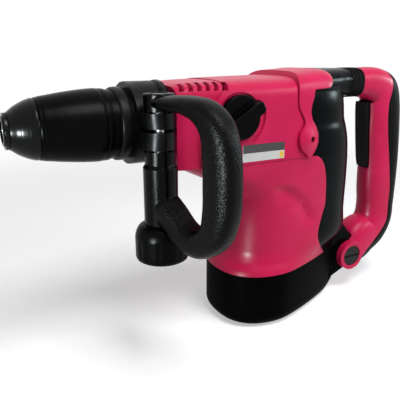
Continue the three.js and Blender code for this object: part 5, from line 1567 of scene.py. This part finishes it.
    def gear(self) -> None:
        """Makes both halves of the gear housing."""
        front, out = self.shells.front, self.outside
        edge = self.front_line(self.shells.gap / 2)
        far = front + PAST
        ahead = [*edge, (far, edge[-1][1]), (far, -PAST), (edge[0][0], -PAST)]
        flank = self.keep(self.vault(self.flank_rows), self.slab(scaled(self.panel, front, self.shells.top)))
        outer = self.join(self.vault(self.nose_rows, 5), flank)
        tools = [
            self.vault(self.cavity_rows, inset=self.shells.wall, step=8.0),
            self.rod(self.mouth, front - self.mouth_depth, far, Axis.X, (0.0, 0.0, self.shells.axis), 96),
            self.turned(self.dish, Axis.Y, self.knob),
            self.rod(self.shaft_bore, 0.0, out, Axis.Y, self.knob),
            self.slab(self.groove(), self.groove_floor, out),
        ]
        for i in range(self.vents):
            slot = [(self.vent_front - self.vent_pitch * i + x, z) for x, z in self.vent]
            tools += [self.slab(slot, self.vent_inner, out), self.slab(slot, -out, -self.vent_inner)]
        shell = self.keep(self.cut(outer, *tools), self.slab(ahead))
        self.halves(shell, self.split, "gear_housing", "housing")

    def cover(self) -> None:
        """Makes the rear cover with a closed front lip and a soft swelling over each screw."""
        gap, wall, rows = self.shells.gap, self.shells.wall, self.cover_rows
        front, inner = self.front_line(-gap / 2), self.front_line(-self.lip)
        up = self.shells.top + FAR
        behind = [*front, (front[-1][0], up), *reversed(beside(self.shells.edges()[1], gap / 2))]
        deep = [*inner, (inner[-1][0], up), (-FAR, up), (-FAR, 0), (inner[0][0], 0)]
        outer = self.vault(rows, step=1.6, swollen=True)
        hollow = self.vault(rows, inset=wall, step=4.0, stretch=self.hollow_stretch[0])
        low = self.vault(rows, inset=wall + self.lip, step=4.0, stretch=self.hollow_stretch[1])
        hollow = self.join(self.keep(hollow, self.slab(deep)), low)
        shell = self.keep(self.cut(outer, hollow), self.slab(behind))
        radius, near, out = self.screw_bore
        bores = [self.rod(radius, a, b, Axis.Y, self.screw) for a, b in ((near, out), (-out, -near))]
        self.skin(self.cut(shell, *bores), "rear_cover", CRIMSON, "housing", "crimson_plastic")

    def build(self) -> None:
        """Makes the gear housing and the cover."""
        self.gear()
        self.cover()


@dataclass(frozen=True)
class RearHandle(Fitting):
    """The sprung rear handle: two crimson halves and the black grip behind them."""

    shells: Shells
    behind: float = 124.6
    axis: float = 222.0
    thick: float = 16.96
    squareness: float = 2.6
    eye: float = 17.7
    eye_half: float = 22.2
    head_bore: float = 12.8
    head_floor: float = 17.0
    lug_play: float = 0.9
    fork: float = 14.0
    face: float = 123.4
    face_foot: float = 79.3
    face_top: float = 700.0
    play: float = 2.4
    split: float = 0.15
    height: float = 662.0
    depth: float = 540.0
    tail_play: float = 0.05
    toe_play: Point = (0.3, 0.1, 0.2)
    trigger_room: tuple[Spot, Spot, Spot] = ((-182.3, -165.7), (-8.8, 8.8), (167.7, 215.3))
    switch_room: tuple[Spot, Spot, Spot] = ((-167.2, 1.0), (-8.5, 8.5), (148.4, 229.4))
    hinge: Point = (-158.0, 0.0, 222.0)
    hinge_size: Spot = (2.3, 11.3)
    inlet: Point = (-177.0, 0.0, 80.0)
    inlet_bore: Point = (8.8, 12.7, 60.0)
    inlet_lean: float = 0.67
    path: Rows = (
        (0.9848, 1.1284, 0.9, 1.088), (1.1075, 1.127, 1.018, 1.088), (1.2319, 1.1126, 1.165, 1.059),
        (1.3242, 1.0743, 1.412, 1.029), (1.3644, 0.9955, 1.5, 1.029), (1.3868, 0.8784, 1.553, 1.029),
        (1.4157, 0.7207, 1.535, 1.029), (1.4246, 0.5676, 1.518, 1.029), (1.4342, 0.4505, 1.412, 1.029),
        (1.4205, 0.3604, 1.429, 1.088), (1.3483, 0.2973, 1.412, 1.147), (1.2239, 0.2658, 1.529, 1.235),
        (1.1236, 0.2266, 1.412, 1.282), (1.0, 0.1977, 0.912, 1.294),
    )
    back: Rows = (
        (1.308, 1.198), (1.343, 1.161), (1.372, 1.126), (1.361, 1.07), (1.339, 1.014), (1.356, 0.894),
        (1.423, 0.707), (1.471, 0.559), (1.477, 0.468), (1.474, 0.378), (1.449, 0.338), (1.38, 0.293),
        (1.296, 0.25), (1.204, 0.204), (1.156, 0.167), (1.144, 0.09),
    )

    def pin(self, radius: float, low: float, high: float, segments: int) -> bpy.types.Object:
        """Makes a rod about the handle's pivot."""
        return self.rod(radius, low, high, Axis.Y, (-self.behind, 0.0, self.shells.pivot_height), segments)

    def whole(self) -> bpy.types.Object:
        """Makes the handle before it is parted.

        Returns:
            The closed mesh.
        """
        shells, fork, tail_half = self.shells, self.fork, self.fork - self.tail_play
        bar = self.swept(
            scaled(self.path, -self.behind, self.axis, self.thick, self.thick), self.squareness, 120, 56
        )
        tail = shells.tail(shells.base_height + shells.gap - self.play, self.play)
        ahead, aside, under = self.toe_play
        radius, half = self.hinge_size
        tools = [
            self.pin(shells.lug + self.lug_play, -fork, fork, 96),
            self.slab(tail, -tail_half, tail_half),
            self.box((ahead - self.behind, 1), (aside - fork, fork - aside), (0, shells.base_height - under)),
            self.pin(self.head_bore, self.head_floor, FAR, 64),
            self.pin(self.head_bore, -FAR, -self.head_floor, 64),
            self.pin(shells.pivot_bore, -FAR, FAR, 48),
            self.box((-self.face, FAR), (-FAR, FAR), (self.face_foot, self.face_top)),
            self.box(*self.trigger_room),
            self.box(*self.switch_room),
            self.rod(radius, -half, half, Axis.Y, self.hinge, 24),
        ]
        eye = self.pin(self.eye, -self.eye_half, self.eye_half, 96)
        return self.cut(self.combine(bar, "UNION", eye, crossed=True), *tools)

    def build(self) -> None:
        """Makes the handle's three pieces."""
        whole, high, deep = self.whole(), self.height, -self.depth
        edge = Curve(scaled(self.back, -self.behind, self.axis)).flat(60)
        (start, _), (end, _) = edge[0], edge[-1]
        ahead = [*beside(edge, -self.split), (0.0, -PAST), (0.0, high), (start, high)]
        behind = [*beside(edge, self.split), (end, -PAST), (deep, -PAST), (deep, high), (start, high)]
        grip = self.keep(placed("blank", whole.data.copy()), self.slab(behind))
        lead = self.rod(*self.inlet_bore, Axis.X, segments=48)
        lean = Matrix.Rotation(math.pi - self.inlet_lean, 4, "Y")
        lead.data.transform(Matrix.Translation(self.inlet) @ lean)
        self.skin(self.cut(grip, lead), "rear_handle_grip", GRIP_RUBBER, "rear_handle", "black_rubber")
        self.halves(self.keep(whole, self.slab(ahead)), self.split, "rear_handle", "rear_handle")


@dataclass(frozen=True)
class Bellows(Fitting):
    """The rubber bellows between the boot's collar and the rear handle."""

    front: float = -102.3
    rear: float = -123.0
    middle: float = 251.0
    half_width: float = 18.9
    half_height: float = 14.0
    swell: float = 2.2
    wall: float = 1.4
    ribs: int = 4
    squareness: float = 2.8

    def ring(self, along: float, swell: float) -> list[Point]:
        """Gives an upright ring at a place on X, which swells beyond the bellows' narrow size."""
        section = oval(self.half_width + swell, self.half_height + swell, self.squareness, 72)
        return upright(along, self.middle, section)

    def build(self) -> None:
        """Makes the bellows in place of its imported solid."""
        outer, inner = [], []
        for share in even(0.0, 1.0, 64):
            swell = self.swell * (0.5 - 0.5 * math.cos(2 * math.pi * self.ribs * share)) ** 0.8
            along = self.front + (self.rear - self.front) * share
            outer.append(self.ring(along, swell))
            inner.append(self.ring(along, swell - self.wall))
        ends = tuple((along, 0.0, self.middle) for along in (self.front, self.rear))
        made = self.loft([*outer, *reversed(inner)], looped=True)
        parts = ("housing", "rear_handle")
        self.stretch(made, "bellows_skin", SEAL_RUBBER, "black_rubber", "handle_bellows", 80.0, parts, ends)


@dataclass(frozen=True)
class Coil(Fitting):
    """A wound spring about the X axis."""

    name: str
    parts: tuple[str, str]
    start: float
    end: float
    height: float
    radius: float
    wire: float
    turns: int = 4
    winding: int = 32
    sides: int = 10

    def build(self) -> None:
        """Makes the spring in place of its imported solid."""
        low, high = min(self.start, self.end) + self.wire, max(self.start, self.end) - self.wire
        rings = []
        for k, x in enumerate(even(low, high, self.turns * self.winding)):
            turn = 2 * math.pi * k / self.winding
            ring = []
            for lean in turns(self.sides):
                out, along = self.radius + self.wire * math.cos(lean), x + self.wire * math.sin(lean)
                ring.append((along, out * math.cos(turn), self.height + out * math.sin(turn)))
            rings.append(ring)
        ends = tuple((along, 0.0, self.height) for along in (self.start, self.end))
        made, name = self.loft(rings), f"{self.name}_skin"
        self.stretch(made, name, BRIGHT_STEEL, "bright_steel", self.name, 60.0, self.parts, ends)


SLEEVE_COIL = Coil("sleeve_spring", ("spindle", "sleeve"), 164.8, 199.7, 222.0, 17.74, 1.2)
HANDLE_COIL = Coil("handle_spring", ("housing", "rear_handle"), -102.3, -123.1, 251.0, 8.0, 1.3)


@dataclass(frozen=True)
class ModeKnob(Fitting):
    """The round mode knob with its tilted grip bar."""

    ahead: float = 60.0
    height: float = 227.0
    floor: float = 46.5
    radius: float = 20.5
    disc: float = 6.0
    edge: float = 1.2
    edge_turns: tuple[float, ...] = (0.0, 0.4, 0.8, 1.2, 1.5708)
    overlap: float = 0.3
    bar: float = 9.0
    bar_reach: float = 24.0
    bar_half: float = 6.5
    bar_side: float = 0.7
    bar_draft: Spot = (0.93, 0.09)
    tilt: float = 150.0
    shaft: float = 6.0
    shaft_length: float = 12.0
    squareness: float = 5.0

    def bar_ring(self, aside: float, share: float) -> list[Point]:
        """Gives the bar's outline at a distance from the middle plane.

        Args:
            aside: The distance.
            share: The outline's share of the bar's full size.

        Returns:
            The outline's points.
        """
        turn = Matrix.Rotation(math.radians(self.tilt), 2)
        flat = oval(self.bar_reach * share, self.bar_half * share, self.squareness, 64)
        return [(self.ahead + x, aside, self.height + z) for x, z in (turn @ Vector(spot) for spot in flat)]

    def build(self) -> None:
        """Makes the knob."""
        face, soft, centre = self.floor + self.disc, self.edge, (self.ahead, 0.0, self.height)
        edge = [
            (self.radius - soft + soft * math.cos(t), face - soft + soft * math.sin(t))
            for t in self.edge_turns
        ]
        disc = self.turned([(0.0, self.floor), (self.radius, self.floor), *edge, (0.0, face)], Axis.Y, centre)
        low, high = self.floor - self.shaft_length, self.floor + self.overlap
        side, (share, draft) = self.bar_side, self.bar_draft
        rings = [self.bar_ring(face - self.overlap, 1.0)]
        for turn in even(0.0, math.pi / 2, 6):
            aside = face + self.bar * (side + (1 - side) * math.sin(turn))
            rings.append(self.bar_ring(aside, share - draft * (1 - math.cos(turn))))
        made = self.join(disc, self.rod(self.shaft, low, high, Axis.Y, centre, 32), self.loft(rings))
        self.skin(made, "mode_knob", GLOSS_BLACK, "mode_knob", "black_plastic")


class Tone(Enum):
    """Plain colours of the flank plate's bands."""

    DARK = linear(24, 26, 28)
    PALE = linear(205, 206, 204)
    BAR = linear(226, 190, 40)


@dataclass(frozen=True)
class FlankPlate(Fitting):
    """The bare rating plate on the gear housing's left flank."""

    rear: float = 7.5
    front: float = 56.0
    bottom: float = 184.2
    seam: float = 192.5
    top: float = 200.5
    aside: float = 47.95
    thickness: float = 0.5
    edge: float = 0.15
    bar: Point = (1.0, 6.0, 1.0)
    bar_lift: float = 0.06

    def band(self, name: str, x: Spot, z: Spot, tone: Tone, lift: float = 0.0) -> None:
        """Makes one band of the plate.

        Args:
            name: The band's name.
            x: Its rear and front.
            z: Its bottom and top.
            tone: Its colour.
            lift: How far it stands beyond the plate's own thickness.
        """
        outer = self.aside + self.thickness + lift
        rings = []
        depths = ((self.aside - self.thickness, 0.0), (outer - self.edge, 0.0), (outer, self.edge))
        for y, inset in depths:
            (rear, front), (bottom, top) = ((low + inset, high - inset) for low, high in (x, z))
            rings.append([(rear, y, bottom), (front, y, bottom), (front, y, top), (rear, y, top)])
        film = PlateFilm(f"plate_{tone.name.lower()}", tone.value)
        self.hang(self.loft(rings), name, film, "housing", "crimson_plastic")

    def build(self) -> None:
        """Makes both bands and the bar at the plate's rear end."""
        whole, (start, end, margin) = (self.rear, self.front), self.bar
        self.band("plate_dark_band", whole, (self.seam, self.top), Tone.DARK)
        self.band("plate_pale_band", whole, (self.bottom, self.seam), Tone.PALE)
        place, heights = (self.rear + start, self.rear + end), (self.bottom + margin, self.seam - margin)
        self.band("plate_bar", place, heights, Tone.BAR, self.bar_lift)


@dataclass(frozen=True)
class Lamp:
    """A soft square lamp; one that doesn't spread only shows in what mirrors it."""

    name: str
    spot: Point
    target: Point
    size: float
    watts: float
    colour: Colour
    spreads: bool

    def build(self) -> None:
        """Hangs the lamp and aims it."""
        data = bpy.data.lights.new(self.name, "AREA")
        data.shape = "SQUARE"
        data.size = self.size
        data.energy = self.watts
        data.color = self.colour
        made = placed(self.name, data)
        aim = Vector(self.target) - Vector(self.spot)
        made.matrix_world = Matrix.Translation(self.spot) @ aim.to_track_quat("-Z", "Y").to_matrix().to_4x4()
        made.visible_diffuse = self.spreads


@dataclass(frozen=True)
class Studio:
    """Camera, lamps, world and floor."""

    eye: Point = (0.3091, 0.4338, 0.2854)
    ahead: Point = (-0.4541, -0.8435, -0.2869)
    upward: Point = (-0.1360, -0.2526, 0.9580)
    focal_pixels: float = 499.09
    image_pixels: float = 400.0
    sensor: float = 36.0
    clip: Spot = (0.01, 50.0)
    glow_colour: Colour = (0.93, 0.96, 1.0)
    glow: float = 0.16
    backdrop: Colour = (1.0, 1.0, 1.0)
    floor_radius: float = 1.3
    floor_drop: float = 0.0004
    floor_colour: Colour = (0.82, 0.82, 0.83)
    floor_glow: float = 0.44
    floor_fade: Spot = (0.35, 0.95)
    lamps: tuple[Lamp, ...] = (
        Lamp("key", (-0.02, 0.55, 1.2), (0.0, 0.0, 0.16), 0.5, 11.0, (1.0, 0.99, 0.98), True),
        Lamp("front", (1.02, 0.55, 0.12), (0.2, 0.0, 0.2), 0.2, 26.0, (0.9, 0.99, 1.0), False),
        Lamp("rear", (-0.75, 0.75, 0.7), (-0.05, 0.0, 0.16), 0.35, 4.2, (0.92, 0.98, 1.0), True),
        Lamp("tail", (-1.1, 0.32, 0.42), (-0.05, 0.03, 0.2), 0.14, 4.0, (0.8, 0.97, 1.0), False),
    )

    def camera(self) -> None:
        """Stands the camera where the photograph was taken from."""
        data = bpy.data.cameras.new("camera")
        data.sensor_width = self.sensor
        data.lens = self.sensor * self.focal_pixels / self.image_pixels
        data.clip_start, data.clip_end = self.clip
        ahead, up = Vector(self.ahead).normalized(), Vector(self.upward).normalized()
        right = ahead.cross(up).normalized()
        turn = Matrix((right, right.cross(ahead), -ahead)).transposed()
        made = placed("camera", data)
        made.matrix_world = Matrix.Translation(self.eye) @ turn.to_4x4()
        bpy.context.scene.camera = made

    def sky(self) -> None:
        """Makes a world that lights softly and looks white."""
        bench = Bench(bpy.data.worlds.new("studio"))
        glow, white = (
            bench.node("ShaderNodeBackground", inputs={"Color": colour, "Strength": strength})
            for colour, strength in ((self.glow_colour, self.glow), (self.backdrop, 1.0))
        )
        bench.surface(bench.blend(bench.seen(), glow, white))
        bpy.context.scene.world = bench.holder

    def floor(self) -> None:
        """Lays a pale round floor that keeps the tool's shadow and fades out into the backdrop."""
        mesh = bmesh.new()
        bmesh.ops.create_circle(mesh, cap_ends=True, segments=96, radius=self.floor_radius)
        data = bpy.data.meshes.new("floor")
        mesh.to_mesh(data)
        mesh.free()
        made = placed("floor", data)
        made.location.z = -self.floor_drop
        bench = Bench(bpy.data.materials.new("pale_floor"))
        matt = bench.node("ShaderNodeBsdfDiffuse", inputs={"Color": self.floor_colour})
        glow = bench.node("ShaderNodeEmission", inputs={"Strength": self.floor_glow})
        lit = bench.node("ShaderNodeAddShader", inputs={0: matt, 1: glow})
        reach = bench.node("ShaderNodeVectorMath", {"operation": "LENGTH"}, {0: bench.place()}, "Value")
        fade = reach.step(*(self.floor_radius * share for share in self.floor_fade))
        clear = bench.node("ShaderNodeBsdfTransparent")
        bench.surface(bench.blend(fade, bench.blend(bench.seen(), matt, lit), clear))
        data.materials.append(bench.holder)

    def build(self) -> None:
        """Sets up the view, the light and the floor."""
        bpy.context.scene.view_settings.view_transform = "Standard"
        self.camera()
        for lamp in self.lamps:
            lamp.build()
        self.sky()
        self.floor()
        log.info("studio is ready")


def main() -> None:
    """Builds the studio, dresses the frame and adds the fittings."""
    logging.basicConfig(level=logging.INFO, format="%(message)s")
    Studio().build()
    dress_frame()
    shells = Shells()
    fittings = (
        Chuck(), SideHandle(), shells, Crown(shells), RearHandle(shells), Bellows(), SLEEVE_COIL, HANDLE_COIL,
        ModeKnob(), FlankPlate(),
    )
    for fitting in fittings:
        fitting.build()


if __name__ == "__main__":
    main()
